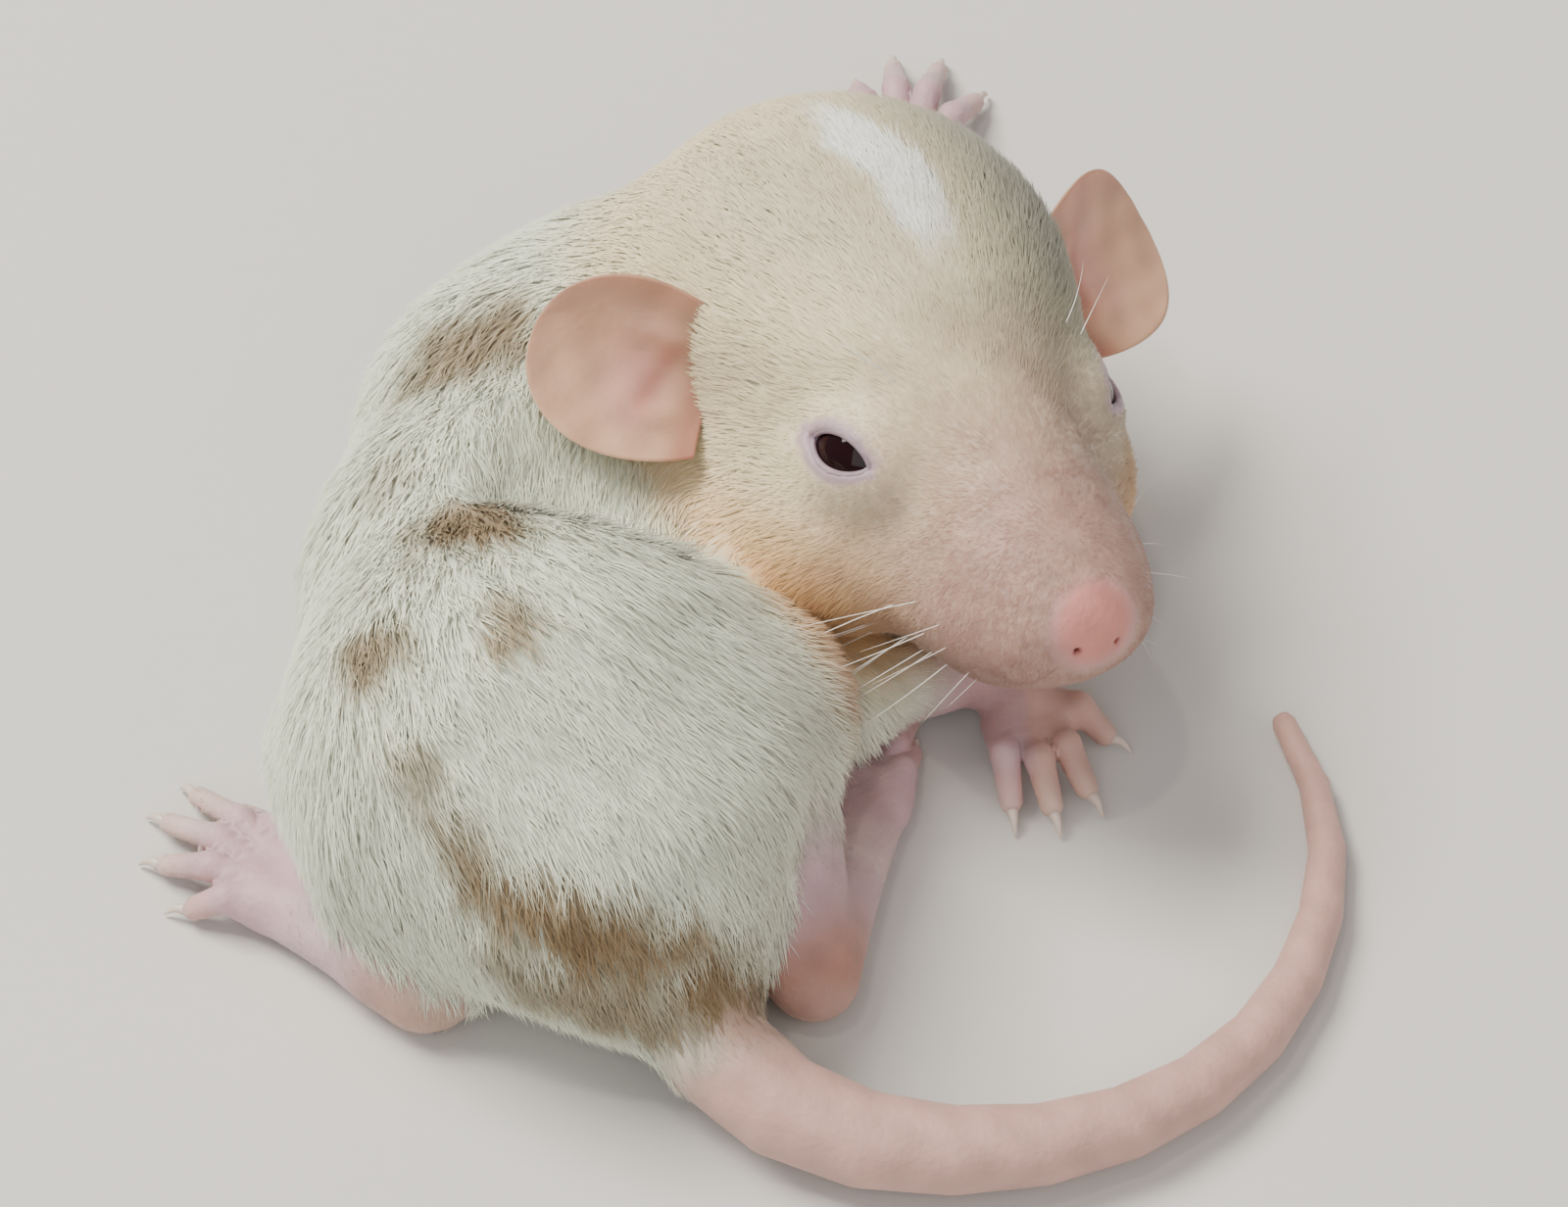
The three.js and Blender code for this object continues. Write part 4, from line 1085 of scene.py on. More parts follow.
class Materials:
    """Makes the node materials. Lengths are in metres, scales in waves to the metre."""

    MOTTLE_SCALE = 900.0
    FLESH_COLOUR_REACH = (1.0, 0.35, 0.2)
    FLESH_REACH = 0.0012
    BUMP_DEPTH = 0.0002

    @staticmethod
    def tinted(name: str, finish: Finish, base: Colour | None = None) -> bpy.types.Material:
        """A material whose colour comes from the mesh's tint with fine mottling over it.

        Args:
            name: the material's name.
            finish: how it takes light.
            base: a colour of its own instead of the tint.
        Returns:
            The material.
        """
        material = bpy.data.materials.new(name)
        material.use_nodes = True
        tree = material.node_tree
        shader = tree.nodes["Principled BSDF"]
        coords = tree.nodes.new("ShaderNodeTexCoord")
        noise = tree.nodes.new("ShaderNodeTexNoise")
        noise.inputs["Scale"].default_value = Materials.MOTTLE_SCALE
        noise.inputs["Detail"].default_value = 3.0
        tree.links.new(coords.outputs["Object"], noise.inputs["Vector"])
        dark = tree.nodes.new("ShaderNodeMix")
        dark.data_type = "RGBA"
        dark.blend_type = "MULTIPLY"
        dark.inputs["Factor"].default_value = 1.0
        ramp = tree.nodes.new("ShaderNodeMapRange")
        ramp.inputs["To Min"].default_value = 1 - finish.mottle
        ramp.inputs["To Max"].default_value = 1 + finish.mottle
        tree.links.new(noise.outputs["Fac"], ramp.inputs["Value"])
        if base is None:
            source = tree.nodes.new("ShaderNodeAttribute")
            source.attribute_name = "tint"
            tree.links.new(source.outputs["Color"], dark.inputs[6])
        else:
            dark.inputs[6].default_value = (*base, 1)
        tree.links.new(ramp.outputs["Result"], dark.inputs[7])
        tree.links.new(dark.outputs[2], shader.inputs["Base Color"])
        shader.inputs["Roughness"].default_value = finish.roughness
        shader.inputs["Specular IOR Level"].default_value = finish.specular
        shader.inputs["Subsurface Weight"].default_value = finish.subsurface
        shader.inputs["Subsurface Radius"].default_value = Materials.FLESH_COLOUR_REACH
        shader.inputs["Subsurface Scale"].default_value = Materials.FLESH_REACH
        shader.inputs["Sheen Weight"].default_value = finish.sheen
        shader.inputs["Sheen Roughness"].default_value = 0.5
        if finish.bump > 0:
            fine = tree.nodes.new("ShaderNodeTexNoise")
            fine.inputs["Scale"].default_value = finish.bump_scale
            fine.inputs["Detail"].default_value = 5.0
            bump = tree.nodes.new("ShaderNodeBump")
            bump.inputs["Strength"].default_value = finish.bump
            bump.inputs["Distance"].default_value = Materials.BUMP_DEPTH
            tree.links.new(coords.outputs["Object"], fine.inputs["Vector"])
            tree.links.new(fine.outputs["Fac"], bump.inputs["Height"])
            tree.links.new(bump.outputs["Normal"], shader.inputs["Normal"])
        return material


def make_object(
    name: str, vertices: Array, faces: Array, material: bpy.types.Material, tint: Array | None = None,
    normals: Array | None = None, uv: Array | None = None,
) -> bpy.types.Object:
    """A smooth mesh object from arrays.

    Args:
        name: the object's name.
        vertices: points in the row frame, in metres.
        faces: rows of three or four vertex numbers.
        material: its material.
        tint: a colour for each vertex.
        normals: a shading normal for each vertex.
        uv: a place for each corner, for the map OFBake.
    Returns:
        The object.
    """
    mesh = bpy.data.meshes.new(name)
    sides = faces.shape[1]
    mesh.vertices.add(len(vertices))
    mesh.vertices.foreach_set("co", np.ascontiguousarray(vertices, dtype=np.float32).ravel())
    mesh.loops.add(faces.size)
    mesh.loops.foreach_set("vertex_index", np.ascontiguousarray(faces, dtype=np.int32).ravel())
    mesh.polygons.add(len(faces))
    mesh.polygons.foreach_set("loop_start", np.arange(0, faces.size, sides, dtype=np.int32))
    mesh.update(calc_edges=True)
    mesh.validate()
    mesh.polygons.foreach_set("use_smooth", np.ones(len(mesh.polygons), dtype=bool))
    if uv is not None:
        layer = mesh.uv_layers.new(name="OFBake")
        layer.data.foreach_set("uv", np.ascontiguousarray(uv, dtype=np.float32).ravel())
    if tint is not None:
        layer = mesh.color_attributes.new("tint", "FLOAT_COLOR", "POINT")
        layer.data.foreach_set("color", np.hstack([tint, np.ones((len(tint), 1))]).astype(np.float32).ravel())
    if normals is not None:
        mesh.normals_split_custom_set_from_vertices(normals.astype(np.float32))
    mesh.materials.append(material)
    obj = bpy.data.objects.new(name, mesh)
    bpy.context.scene.collection.objects.link(obj)
    return obj


@dataclass
class Placer:
    """Moves rig millimetres to the row frame's metres."""

    shift: Array

    @staticmethod
    def from_frame() -> "Placer":
        """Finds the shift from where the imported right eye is.

        Returns:
            The placer.
        """
        low, high = (np.array(c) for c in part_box("eye_right"))
        return Placer((low + high) / 2 / MM - from_head(EYES["right"].ball))

    def metres(self, p: Array) -> Array:
        """Rig points in the row frame.

        Args:
            p: points in the rig.
        Returns:
            The same points in metres.
        """
        return (p + self.shift) * MM


# The coat.


@dataclass(frozen=True)
class CoatStyle:
    """Sizes of the tufts in millimetres and how many there are."""

    count: int
    seed: int = 7
    body_length: float = 1.9
    head_length: float = 1.35
    face_length: float = 0.5
    width: float = 0.08


@dataclass
class Coat:
    """Tufts of fur set on the skin."""

    skin: Skin
    placer: Placer
    style: CoatStyle

    def bareness(self, p: Array, parts: dict[Part, Array]) -> Array:
        """1 where no fur grows: feet, tail, nose pad, lids.

        Args:
            p: points in the rig.
            parts: each part's field there.
        Returns:
            A number from 0 to 1 at each.
        """
        h = to_head(p)
        names = list(parts)
        nearest = np.argmin(np.stack([parts[n] for n in names]), axis=0)
        bare = np.zeros(len(p))
        for i, name in enumerate(names):
            here = nearest == i
            if name is Part.TAIL:
                bare[here] = smoothstep(0.5, 4.5, np.linalg.norm(p[here] - RIG.tail[0], axis=1) - 2.0)
            elif name in LEGS:
                bare[here] = 1 - furry_leg(name, p[here])
        nose = smoothstep(2.6, 1.8, np.linalg.norm(h - NOSE_PAD, axis=1))
        lids = np.zeros(len(p))
        for eye in EYES.values():
            d = eye.opening(h)
            lids = np.maximum(lids, smoothstep(0.75, 0.35, d) * (np.abs(h[:, 1] * eye.side - 5.5) < 3.2))
        return np.clip(np.maximum.reduce([bare, nose, lids]), 0, 1)

    def grow(self, materials: dict[str, bpy.types.Material]) -> list[bpy.types.Object]:
        """Sets the tufts and makes the coat's objects.

        Args:
            materials: materials by name.
        Returns:
            The coat's pieces.
        """
        skin, style = self.skin, self.style
        rng = np.random.default_rng(style.seed)
        bare = self.bareness(skin.vertices, skin.parts)
        q = skin.quads
        tri = np.concatenate([q[:, [0, 1, 2]], q[:, [0, 2, 3]]])
        tri_uv = np.concatenate([skin.uv[:, [0, 1, 2]], skin.uv[:, [0, 2, 3]]])
        a, b, c = (skin.vertices[tri[:, k]] for k in range(3))
        area = np.linalg.norm(np.cross(b - a, c - a), axis=1) / 2
        middle = (a + b + c) / 3
        h = to_head(middle)
        head = smoothstep(1.0, -1.0, (skin.parts[Part.HEAD] - skin.parts[Part.TRUNK])[tri].mean(1))
        face = head * smoothstep(3, 13, h[:, 0])
        under = smoothstep(3.0, 0.6, middle[:, 2])
        furry = np.clip(1 - bare[tri].mean(1), 0, 1)
        density = area * (1 + 0.8 * head + 1.8 * face) * (1 - 0.75 * under) * (0.05 + 0.95 * furry**0.7)
        density[furry < 0.04] *= 0.25
        nose = np.linalg.norm(h - NOSE_PAD, axis=1) < 1.7
        density[nose] = 0
        for eye in EYES.values():
            inside = (eye.opening(h) < 0.28) & (np.abs(h[:, 1] * eye.side - 5.5) < 3.4) & (h[:, 0] > 2)
            density[inside] = 0
        pick = rng.choice(len(tri), style.count, p=density / density.sum())
        u, v = rng.random(style.count), rng.random(style.count)
        over = u + v > 1
        u[over], v[over] = 1 - u[over], 1 - v[over]
        w = np.stack([1 - u - v, u, v], 1)

        def at(values: Array) -> Array:
            """A vertex value carried to the tufts' roots.

            Args:
                values: one row for each vertex.
            Returns:
                One row for each tuft.
            """
            got = values[tri[pick]]
            return (got * (w if values.ndim == 1 else w[:, :, None])).sum(1)

        root = at(skin.vertices)
        normal = unit(at(skin.normals))
        flow = at(skin.flow)
        flow = unit(flow - normal * (flow * normal).sum(1, keepdims=True) + 1e-9)
        parts = {k: at(d) for k, d in skin.parts.items()}
        smooth_bare = at(bare)
        h = to_head(root)
        head = smoothstep(1.5, -1.5, parts[Part.HEAD] - parts[Part.TRUNK])
        face = head * smoothstep(1.5, 14.5, h[:, 0])
        on_head = style.head_length * (1 - face) + style.face_length * face
        length = style.body_length * (1 - head) + on_head * head
        length *= 1 - 0.78 * np.clip(smooth_bare * 1.15, 0, 1)
        eyes = np.minimum(*[np.linalg.norm(h - e.ball, axis=1) for e in EYES.values()])
        length *= 0.45 + 0.55 * smoothstep(2.6, 5.0, eyes)
        length *= rng.uniform(0.72, 1.22, style.count)
        clump = ripple(root, 1.6, 41)
        side = np.cross(normal, flow)
        heading = flow + side * (0.20 * clump + rng.normal(0, 0.16, style.count))[:, None]
        heading = unit(heading)
        depth = coat_depth(root, parts)
        lift = np.clip(depth / np.maximum(length, 0.05) * 0.9, 0.06, 0.3)
        lift = lift * rng.uniform(0.55, 1.25, style.count)
        lift += 0.03 * ripple(root, 2.6, 43)
        width = style.width * (1 - 0.45 * face - 0.25 * smooth_bare) * rng.uniform(0.75, 1.2, style.count)
        colour = coat_colour(root, parts)
        bare_tone = skin_colour(root, parts, np.ones(style.count))
        colour = colour * (1 - 0.8 * smooth_bare[:, None]) + bare_tone * 0.8 * smooth_bare[:, None]
        colour *= rng.uniform(0.93, 1.07, style.count)[:, None]
        vertices, faces, normals, tints = self.blades(root, normal, heading, length, width, lift, colour)
        root_uv = (tri_uv[pick] * w[:, :, None]).sum(1)
        low = vertices[..., 2].min(1)
        keep = low > 0.03
        pieces = []
        groups = np.array_split(np.nonzero(keep)[0], COAT_PIECES)
        r = PATCH_RADIUS
        spot = np.array([(0, 0), (r, 0), (0, r), (0, -r), (-r, 0), (r / 1.5, r / 1.5), (0, 0)])
        for n, group in enumerate(groups):
            count = len(group)
            f = (faces[None] + 7 * np.arange(count)[:, None, None]).reshape(-1, 3)
            uv = (root_uv[group][:, None] + spot[None])[:, faces.ravel()]
            piece = make_object(
                f"coat_{n + 1}", self.placer.metres(vertices[group].reshape(-1, 3)), f, materials["fur"],
                np.clip(tints[group].reshape(-1, 3), 0, 1), normals[group].reshape(-1, 3), uv.reshape(-1, 2),
            )
            pieces.append(piece)
        log.info("coat: %d tufts", int(keep.sum()))
        return pieces

    @staticmethod
    def blades(
        root: Array, normal: Array, heading: Array, length: Array, width: Array, lift: Array, colour: Array
    ) -> tuple[Array, Array, Array, Array]:
        """Three-sided tapered blades that rise from the skin and bend over along the coat.

        Args:
            root: where each grows.
            normal: the skin's normals there.
            heading: which way each lies.
            length: how long each is.
            width: how wide at the root.
            lift: how high its tip stands, as a share of its length.
            colour: its colour.
        Returns:
            Seven vertices a blade, its ten faces, shading normals and colours.
        """
        n = len(root)
        side = np.cross(normal, heading)
        out = np.zeros((n, 7, 3))
        shade = np.zeros((n, 7, 3))
        tint = np.zeros((n, 7, 3))
        for ring, (t, wide) in enumerate(((0.0, 1.0), (0.5, 0.8))):
            rise = lift * (1.6 * t - 0.6 * t * t)
            up = length * rise - 0.1 * (1 - t)
            middle = root + heading * (length * t)[:, None] + normal * up[:, None]
            for k, angle in enumerate((math.radians(90), math.radians(210), math.radians(330))):
                offset = side * math.cos(angle) + normal * math.sin(angle) * 0.6
                out[:, ring * 3 + k] = middle + offset * (width * wide / 2)[:, None]
                shade[:, ring * 3 + k] = normal + offset * 0.22 - heading * 0.05
                tint[:, ring * 3 + k] = colour * (0.96 + 0.04 * t * 2)
        out[:, 6] = root + heading * length[:, None] + normal * (length * lift)[:, None]
        shade[:, 6] = normal
        tint[:, 6] = colour * 1.02
        faces = np.array([
            (0, 2, 1), (0, 1, 4), (0, 4, 3), (1, 2, 5), (1, 5, 4),
            (2, 0, 3), (2, 3, 5), (3, 4, 6), (4, 5, 6), (5, 3, 6),
        ])
        return out, faces, unit(shade), tint


# Separate pieces.


def tube(points: Array, radii: Array, sides: int) -> tuple[Array, Array]:
    """A tapered tube along points, closed at both ends.

    Args:
        points: its middle line.
        radii: its radius at each point.
        sides: corners of its section.
    Returns:
        Vertices and three-sided faces.
    """
    tangent = unit(np.gradient(points, axis=0))
    up = vec(0, 0, 1) if abs(tangent[0, 2]) < 0.9 else vec(1, 0, 0)
    rings = []
    for p, t, r in zip(points, tangent, radii):
        x = unit(np.cross(up, t))
        y = np.cross(t, x)
        up = y
        a = np.arange(sides) * 2 * math.pi / sides
        rings.append(p + r * (np.cos(a)[:, None] * x + np.sin(a)[:, None] * y))
    vertices = np.concatenate(rings + [points[:1], points[-1:]])
    faces = []
    n = len(points)
    for j in range(sides):
        k = (j + 1) % sides
        faces.append((n * sides, k, j))
        faces.append((n * sides + 1, (n - 1) * sides + j, (n - 1) * sides + k))
        for i in range(n - 1):
            a, b = i * sides, (i + 1) * sides
            faces += [(a + j, a + k, b + k), (a + j, b + k, b + j)]
    return vertices, np.array(faces)


def joined(pieces: list[tuple[Array, Array]]) -> tuple[Array, Array]:
    """Several meshes as one.

    Args:
        pieces: vertices and faces of each.
    Returns:
        Vertices and faces of all.
    """
    start = np.cumsum([0] + [len(v) for v, _ in pieces])
    return np.concatenate([v for v, _ in pieces]), np.concatenate([f + s for (_, f), s in zip(pieces, start)])


@dataclass
class Ear:
    """A cupped oval ear with two faces."""

    side: int

    def surface(self, u: Array, v: Array, lift: Array) -> Array:
        """Points of the ear.

        Args:
            u: across it, from -1 to 1.
            v: along it, from 0 at the root to 1 at the tip.
            lift: distance from its middle layer.
        Returns:
            Points in the rig.
        """
        s = self.side
        along, facing, across = ear_axes(s)
        root = EAR_ROOT * vec(1, s, 1)
        reach = (1 - np.cos(math.pi * (0.12 + 0.88 * v))) / 2
        far = np.maximum(0, (reach - EAR_WIDEST) / (1 - EAR_WIDEST))
        near = np.maximum(0, (EAR_WIDEST - reach) / EAR_WIDEST)
        share = np.sqrt(np.maximum(0, 1 - far * far)) ** 0.9 * (1 - 0.28 * near * near)
        width = EAR_WIDTH / 2 * share
        cup = EAR_CUP * ((u * share) ** 2 * 0.9 + reach * reach * 0.5 - 0.6) * (1 - 0.35 * reach)
        fold = 0.35 * np.exp(-(((np.abs(u) - 0.45) / 0.16) ** 2)) * np.exp(-(((reach - 0.35) / 0.2) ** 2))
        h = root + reach[..., None] * EAR_LENGTH * along + (u * width)[..., None] * across
        return from_head(h + (cup + fold + lift)[..., None] * facing)

    def mesh(self) -> tuple[Array, Array, Array, Array]:
        """The ear's mesh.

        Returns:
            Vertices, four-sided faces, and how far along and across the ear each vertex is.
        """
        shape = (EAR_ROWS + 1, EAR_COLUMNS + 1)
        v, u = np.meshgrid(np.linspace(0, 0.985, shape[0]), np.linspace(-1, 1, shape[1]), indexing="ij")
        thin = EAR_THICKNESS * (1 - 0.55 * np.maximum(np.abs(u) ** 4, v**6)) / 2
        front = self.surface(u, v, thin).reshape(-1, 3)
        back = self.surface(u, v, -thin).reshape(-1, 3)
        index = np.arange(v.size).reshape(shape)
        a, b, c, d = (x.ravel() for x in (index[:-1, :-1], index[:-1, 1:], index[1:, 1:], index[1:, :-1]))
        n = len(front)
        faces = [np.stack([a, b, c, d], 1), np.stack([a + n, d + n, c + n, b + n], 1)]
        rim = np.concatenate([index[0, :], index[1:, -1], index[-1, -2::-1], index[-2:0:-1, 0]])
        nxt = np.roll(rim, -1)
        faces.append(np.stack([rim, rim + n, nxt + n, nxt], 1))
        along, across = np.tile(v.ravel(), 2), np.tile(u.ravel(), 2)
        return np.concatenate([front, back]), np.concatenate(faces), along, across

    def build(self, placer: Placer, material: bpy.types.Material, name: str) -> bpy.types.Object:
        """Makes the ear's object.

        Args:
            placer: moves it to the row frame.
            material: its material.
            name: its name.
        Returns:
            The object.
        """
        vertices, faces, along, across = self.mesh()
        n = len(vertices) // 2
        inner = np.concatenate([np.ones(n), np.zeros(n)])
        colour = np.tile(vec(*PALETTE.ear), (2 * n, 1))
        top = smoothstep(0.1, 0.95, across * self.side)
        edge = np.maximum(smoothstep(0.6, 1.0, along) * 0.6, top * 0.75)
        colour = mix(colour, PALETTE.ear_edge, edge)
        hollow = np.exp(-(((along - 0.36) / 0.14) ** 2) - ((across - 0.1) / 0.6) ** 2)
        colour = mix(colour, PALETTE.ear_hollow, hollow * inner * 0.8)
        # Painted shade: the inner face is darkened along the crease of the fold.
        fold = np.exp(-(((along - 0.3 - 0.12 * across) / 0.05) ** 2)) * smoothstep(0.7, 0.2, np.abs(across))
        colour = mix(colour, PALETTE.ear_fold_painted_shade, fold * inner * 0.7)
        # Painted shade: the inner face is darkened towards the root, where the ear meets the head.
        colour = mix(colour, PALETTE.ear_root_painted_shade, smoothstep(0.26, 0.08, along) * inner * 0.8)
        colour *= (1 + 0.08 * ripple(vertices, 2.4, 51))[:, None]
        return make_object(name, placer.metres(vertices), faces, material, np.clip(colour, 0, 1))


class Details:
    """Eyes, lids, claws and whiskers."""

    def __init__(self, placer: Placer, materials: dict[str, bpy.types.Material]) -> None:
        """Keeps what every piece needs.

        Args:
            placer: moves rig points to the row frame.
            materials: materials by name.
        """
        self.placer = placer
        self.materials = materials

    def eye(self, word: str) -> bpy.types.Object:
        """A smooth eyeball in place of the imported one.

        Args:
            word: left or right.
        Returns:
            The eyeball.
        """
        eye = EYES[word]
        rows, columns = 48, 64
        theta = np.linspace(0, math.pi, rows + 1)
        phi = np.arange(columns) * 2 * math.pi / columns
        t, f = np.meshgrid(theta[1:-1], phi, indexing="ij")
        ball = np.stack([np.sin(t) * np.cos(f), np.sin(t) * np.sin(f), np.cos(t)], -1).reshape(-1, 3)
        ball = np.concatenate([ball, [(0, 0, 1), (0, 0, -1)]]) * EYE_RADIUS
        index = np.arange((rows - 1) * columns).reshape(rows - 1, columns)
        right = np.roll(index, -1, axis=1)
        a, b, c, d = (x.ravel() for x in (index[:-1], index[1:], right[1:], right[:-1]))
        faces = np.concatenate([np.stack([a, b, c], 1), np.stack([a, c, d], 1)])
        top, bottom = (rows - 1) * columns, (rows - 1) * columns + 1
        caps = [(top, index[0, j], right[0, j]) for j in range(columns)]
        caps += [(bottom, right[-1, j], index[-1, j]) for j in range(columns)]
        faces = np.concatenate([faces, np.array(caps)])
        vertices = self.placer.metres(from_head(eye.ball) + ball)
        return make_object(f"eyeball_{word}", vertices, faces, self.materials["eye"])

    def lids(self, word: str) -> bpy.types.Object:
        """The swollen rim of the lids round one eye.

        Args:
            word: left or right.
        Returns:
            The rim.
        """
        eye = EYES[word]
        along, up = eye.axes
        steps, sides = 60, 10
        a = np.linspace(0, 2 * math.pi, steps + 1)[:-1]
        x = (LID_LENGTH / 2 + 0.05) * np.cos(a)
        y = (LID_OPENING / 2 + 0.1) * np.sin(a) * np.abs(np.sin(a)) ** 0.55
        ray = unit(eye.out * EYE_RADIUS + x[:, None] * along + y[:, None] * up)
        line = from_head(eye.ball + ray * (EYE_RADIUS + 0.14))
        radius = 0.13 + 0.04 * np.sin(a) ** 2
        tangent = unit(np.roll(line, -1, 0) - np.roll(line, 1, 0))
        outward = unit(line - from_head(eye.ball))
        across = np.cross(tangent, outward)
        ring = np.arange(sides) * 2 * math.pi / sides
        vertices = (
            line[:, None]
            + (radius[:, None] * np.cos(ring))[..., None] * outward[:, None]
            + (radius[:, None] * np.sin(ring))[..., None] * across[:, None]
        ).reshape(-1, 3)
        index = np.arange(steps * sides).reshape(steps, sides)
        down, right = np.roll(index, -1, 0), np.roll(index, -1, 1)
        both = np.roll(down, -1, 1)
        faces = np.stack([index.ravel(), right.ravel(), both.ravel(), down.ravel()], 1)
        shade = 1 + 0.1 * ripple(vertices, 1.0, 61)
        colour = np.tile(vec(*PALETTE.lid_rim), (len(vertices), 1)) * shade[:, None]
        skin = self.materials["skin"]
        return make_object(f"lids_{word}", self.placer.metres(vertices), faces, skin, colour)

    def claws(self) -> bpy.types.Object:
        """Every claw of the four feet.

        Returns:
            One mesh of curved tapering claws.
        """
        pieces = []
        for leg in LEGS.values():
            for _, knuckle, tip in leg.toe_lines():
                heading = unit(tip - knuckle)
                flat = unit(heading * vec(1, 1, 0))
                start = tip + heading * TOE_RADIUS * 0.35
                end = start + flat * CLAW_LENGTH
                end[2] = 0.2
                middle = (start + end) / 2 + vec(0, 0, 0.28)
                line = through((start, middle, end), CLAW_POINTS)
                pieces.append(tube(line, np.linspace(*CLAW_RADII, CLAW_POINTS), CLAW_SIDES))
        vertices, faces = joined(pieces)
        vertices[:, 2] = np.maximum(vertices[:, 2], 0.03)
        return make_object("claws", self.placer.metres(vertices), faces, self.materials["claw"])

    def whiskers(self, low: Array, high: Array) -> bpy.types.Object:
        """The whiskers of both sides, in four rows, with two short hairs over each eye.

        Args:
            low: lowest corner of the room they have, in the rig.
            high: highest corner.
        Returns:
            One mesh of thin tapering hairs.
        """
        rng = np.random.default_rng(17)
        pieces = []
        for s in (-1, 1):
            for row in range(4):
                for column in range(5):
                    root = vec(13.6 - 1.15 * column, s * (2.2 + 0.35 * column), -2.6 - 0.75 * row)
                    root += rng.normal(0, 0.12, 3)
                    length = (6.5 + 3.2 * column - 0.8 * row) * rng.uniform(0.85, 1.1)
                    lie = vec(-0.15 - 0.25 * column, s * 1.0, -0.25 - 0.28 * row)
                    heading = unit(lie + rng.normal(0, 0.08, 3))
                    pieces.append(self.hair(root, heading, length, WHISKER_RADIUS, low, high, rng))
            for k in range(2):
                brow = vec(7.5 - k * 1.2, s * 4.6, 5.4)
                heading = unit(vec(-0.3, 0.6 * s, 0.6))
                pieces.append(self.hair(brow, heading, 3.0, BROW_RADIUS, low, high, rng))
        vertices, faces = joined(pieces)
        return make_object("whiskers", self.placer.metres(vertices), faces, self.materials["whisker"])

    @staticmethod
    def hair(
        root: Array, heading: Array, length: float, radius: float, low: Array, high: Array,
        rng: np.random.Generator,
    ) -> tuple[Array, Array]:
        """One long hair that bends down and back.

        Args:
            root: its root near the skin, in the head's frame.
            heading: which way it sets out.
            length: its length.
            radius: its radius at the root.
            low: lowest corner of the room it has.
            high: highest corner.
            rng: random numbers.
        Returns:
            Vertices and faces in the rig.
        """
        d = rng.normal(0, 0.12, 3)
        bend = vec(-0.35, 0, -0.3) + d
        t = np.linspace(0, 1, HAIR_POINTS)[:, None]
        line = from_head(root + heading * length * t + bend * length * 0.5 * t * t)
        line = np.clip(line, low, high)
        return tube(line, radius * (1 - 0.85 * t[:, 0]), HAIR_SIDES)


# The stage.


@dataclass(frozen=True)
class Lamp:
    """A soft square lamp: its place and width in metres, its power in watts and its colour."""

    name: str
    place: tuple[float, float, float]
    size: float
    power: float
    colour: Colour


LAMPS = (
    # The large key stands above and behind on the left, as in the photo, and gives the back its pale top.
    Lamp("key", (-0.30, 0.10, 0.52), 0.3, 6.6, (1.0, 0.96, 0.88)),
    # The fill lifts the shaded right side.
    Lamp("fill", (0.45, -0.35, 0.4), 0.5, 1.1, (1.0, 0.88, 0.82)),
    # The small spark gives the eyes their bright point.
    Lamp("spark", (-0.085, -0.11, 0.6), 0.02, 0.35, (1.0, 0.9, 0.75)),
    # The front lamp lights the near flank and the feet from the camera's side.
    Lamp("front", (-0.1, -0.5, 0.5), 0.5, 1.5, (0.95, 0.98, 1.0)),
)


class Studio:
    """Camera, floor and lights."""

    ELEVATION = math.radians(50)
    DISTANCE = 230.0
    SCALE = 24.0  # the photo's pixels for one millimetre at the target
    PHOTO_WIDTH = 1600
    SENSOR = 36
    TARGET = vec(-13.25, 0.77, 14.04)
    SKY = (0.95, 0.95, 1.0, 1)
    SKY_STRENGTH = 0.36

    def __init__(self, placer: Placer) -> None:
        """Keeps the placer.

        Args:
            placer: moves rig points to the row frame.
        """
        self.placer = placer

    def camera(self) -> None:
        """Makes the camera with the photo's framing and sets it."""
        data = bpy.data.cameras.new("camera")
        data.sensor_width = self.SENSOR
        data.lens = self.SENSOR * self.SCALE * self.DISTANCE / self.PHOTO_WIDTH
        data.clip_start = 0.01
        data.clip_end = 20
        camera = bpy.data.objects.new("camera", data)
        bpy.context.scene.collection.objects.link(camera)
        back = vec(0, -math.cos(self.ELEVATION), math.sin(self.ELEVATION))
        place = self.placer.metres(self.TARGET + back * self.DISTANCE)
        right = vec(1, 0, 0)
        up = np.cross(back, right)
        rotation = Matrix(np.stack([right, up, back], 1).tolist())
        camera.matrix_world = Matrix.Translation(Vector(place.tolist())) @ rotation.to_4x4()
        bpy.context.scene.camera = camera

    def floor(self) -> None:
        """A pale floor that isn't part of the object."""
        vertices = np.array([(-3, -3, 0), (3, -3, 0), (3, 3, 0), (-3, 3, 0)], dtype=float)
        material = Materials.tinted("floor", Finish(roughness=0.9, mottle=0.015), PALETTE.floor)
        obj = make_object("floor", vertices, np.array([[0, 1, 2, 3]]), material)

    @staticmethod
    def light(lamp: Lamp) -> None:
        """One soft area light aimed at the animal.

        Args:
            lamp: its place, size, power and colour.
        """
        data = bpy.data.lights.new(lamp.name, "AREA")
        data.size = lamp.size
        data.energy = lamp.power
        data.color = lamp.colour
        obj = bpy.data.objects.new(lamp.name, data)
        obj.location = lamp.place
        aim = Vector((0, 0, 0.01)) - Vector(lamp.place)
        obj.rotation_euler = aim.to_track_quat("-Z", "Y").to_euler()
        bpy.context.scene.collection.objects.link(obj)

    def lights(self) -> None:
        """Sets the lamps and a pale sky."""
        for lamp in LAMPS:
            self.light(lamp)
        world = bpy.data.worlds.new("studio")
        world.use_nodes = True
        world.node_tree.nodes["Background"].inputs["Color"].default_value = self.SKY
        world.node_tree.nodes["Background"].inputs["Strength"].default_value = self.SKY_STRENGTH
        bpy.context.scene.world = world


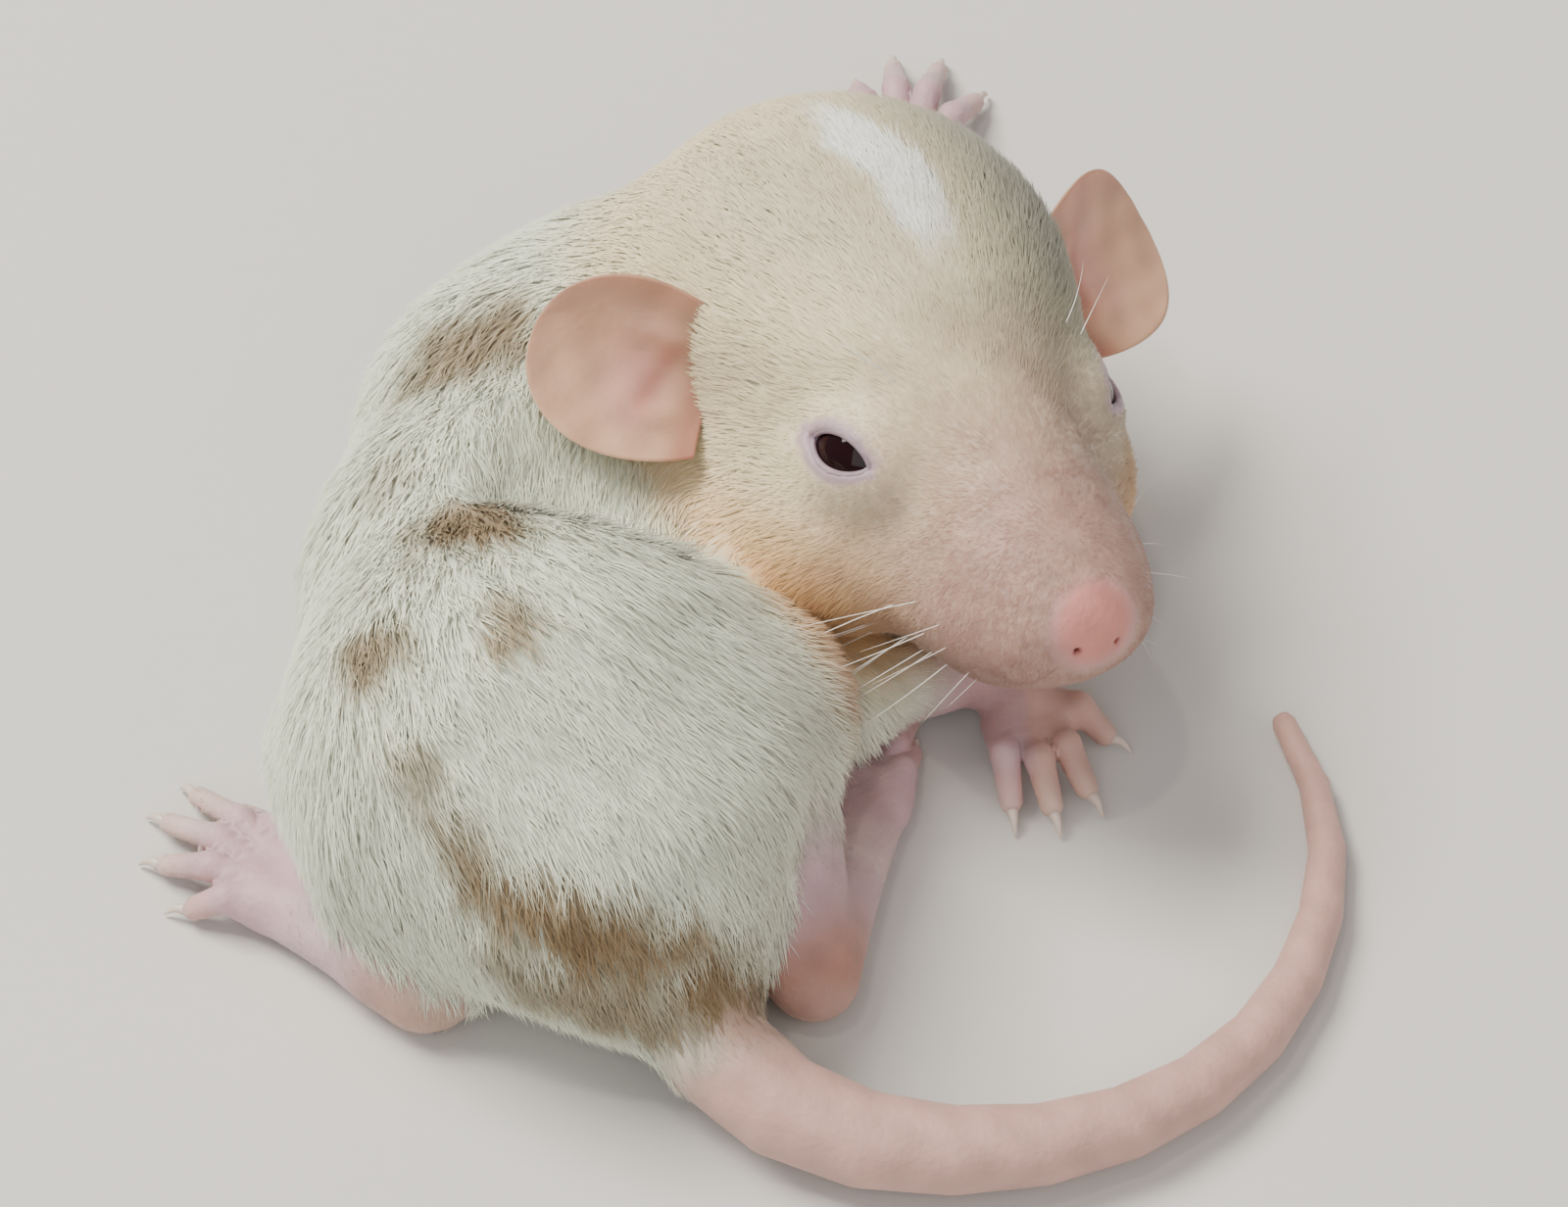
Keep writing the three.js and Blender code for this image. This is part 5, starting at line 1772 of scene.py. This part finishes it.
@dataclass(frozen=True)
class Fineness:
    """How fine a build is: the skin's grid at the face and elsewhere, in millimetres, and its tufts."""

    face_grid: float
    body_grid: float
    tufts: int


FINAL = Fineness(face_grid=0.2, body_grid=0.42, tufts=138_000)
WHISKER_ROOM = 8.0  # how far past the solids the whiskers may reach, in millimetres
FLESH = ["head", "neck", "chest", "loin", "rump"] + [
    f"{part}_{side}"
    for side in ("left", "right")
    for part in ("thigh", "shank", "hind_foot", "upper_arm", "forearm", "forepaw")
] + [f"tail_{n}" for n in range(1, 6)]


def main() -> None:
    """Builds the animal and the studio in order; the skin and the coat log their sizes."""
    logging.basicConfig(level=logging.INFO, format="%(message)s")
    placer = Placer.from_frame()
    materials = {
        "skin": Materials.tinted(
            "skin", Finish(0.55, subsurface=0.25, sheen=0.1, bump=0.35, bump_scale=2600)
        ),
        "fur": Materials.tinted("fur", Finish(0.7, sheen=0.15, mottle=0.04, specular=0.25)),
        "ear": Materials.tinted("ear", Finish(0.6, subsurface=0.4, sheen=0.2, bump=0.25, bump_scale=1800)),
        "eye": Materials.tinted("eye", Finish(0.06, mottle=0.1, specular=0.22), PALETTE.eye),
        "claw": Materials.tinted("claw", Finish(0.35, subsurface=0.2), PALETTE.claw),
        "whisker": Materials.tinted("whisker", Finish(0.35), PALETTE.whisker),
    }
    fineness = FINAL
    skin = Skin.grow(fineness.face_grid, fineness.body_grid)
    coat = Coat(skin, placer, CoatStyle(count=fineness.tufts))
    bare = coat.bareness(skin.vertices, skin.parts)
    tint = skin_colour(skin.vertices, skin.parts, bare)
    body = make_object(
        "skin", placer.metres(skin.vertices), skin.quads, materials["skin"], tint, skin.normals, skin.uv
    )
    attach(body, "root")
    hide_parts(*FLESH)
    for piece in coat.grow(materials):
        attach(piece, "root")
    details = Details(placer, materials)
    for word, side in (("left", 1), ("right", -1)):
        ear = Ear(side).build(placer, materials["ear"], f"auricle_{word}")
        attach(ear, "root")
        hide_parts(f"ear_{word}")
        ball = details.eye(word)
        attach(ball, "root")
        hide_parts(f"eye_{word}")
        rim = details.lids(word)
        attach(rim, "root")
    claws = details.claws()
    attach(claws, "root")
    low, high = (np.array(c) / MM - placer.shift for c in CAD_BOUNDS[:2])
    low_corner = np.array([low[0] - WHISKER_ROOM, low[1] - WHISKER_ROOM, 0.1])
    whiskers = details.whiskers(low_corner, high + WHISKER_ROOM)
    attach(whiskers, "root")
    studio = Studio(placer)
    studio.camera()
    studio.floor()
    studio.lights()


if __name__ == "__main__":
    main()
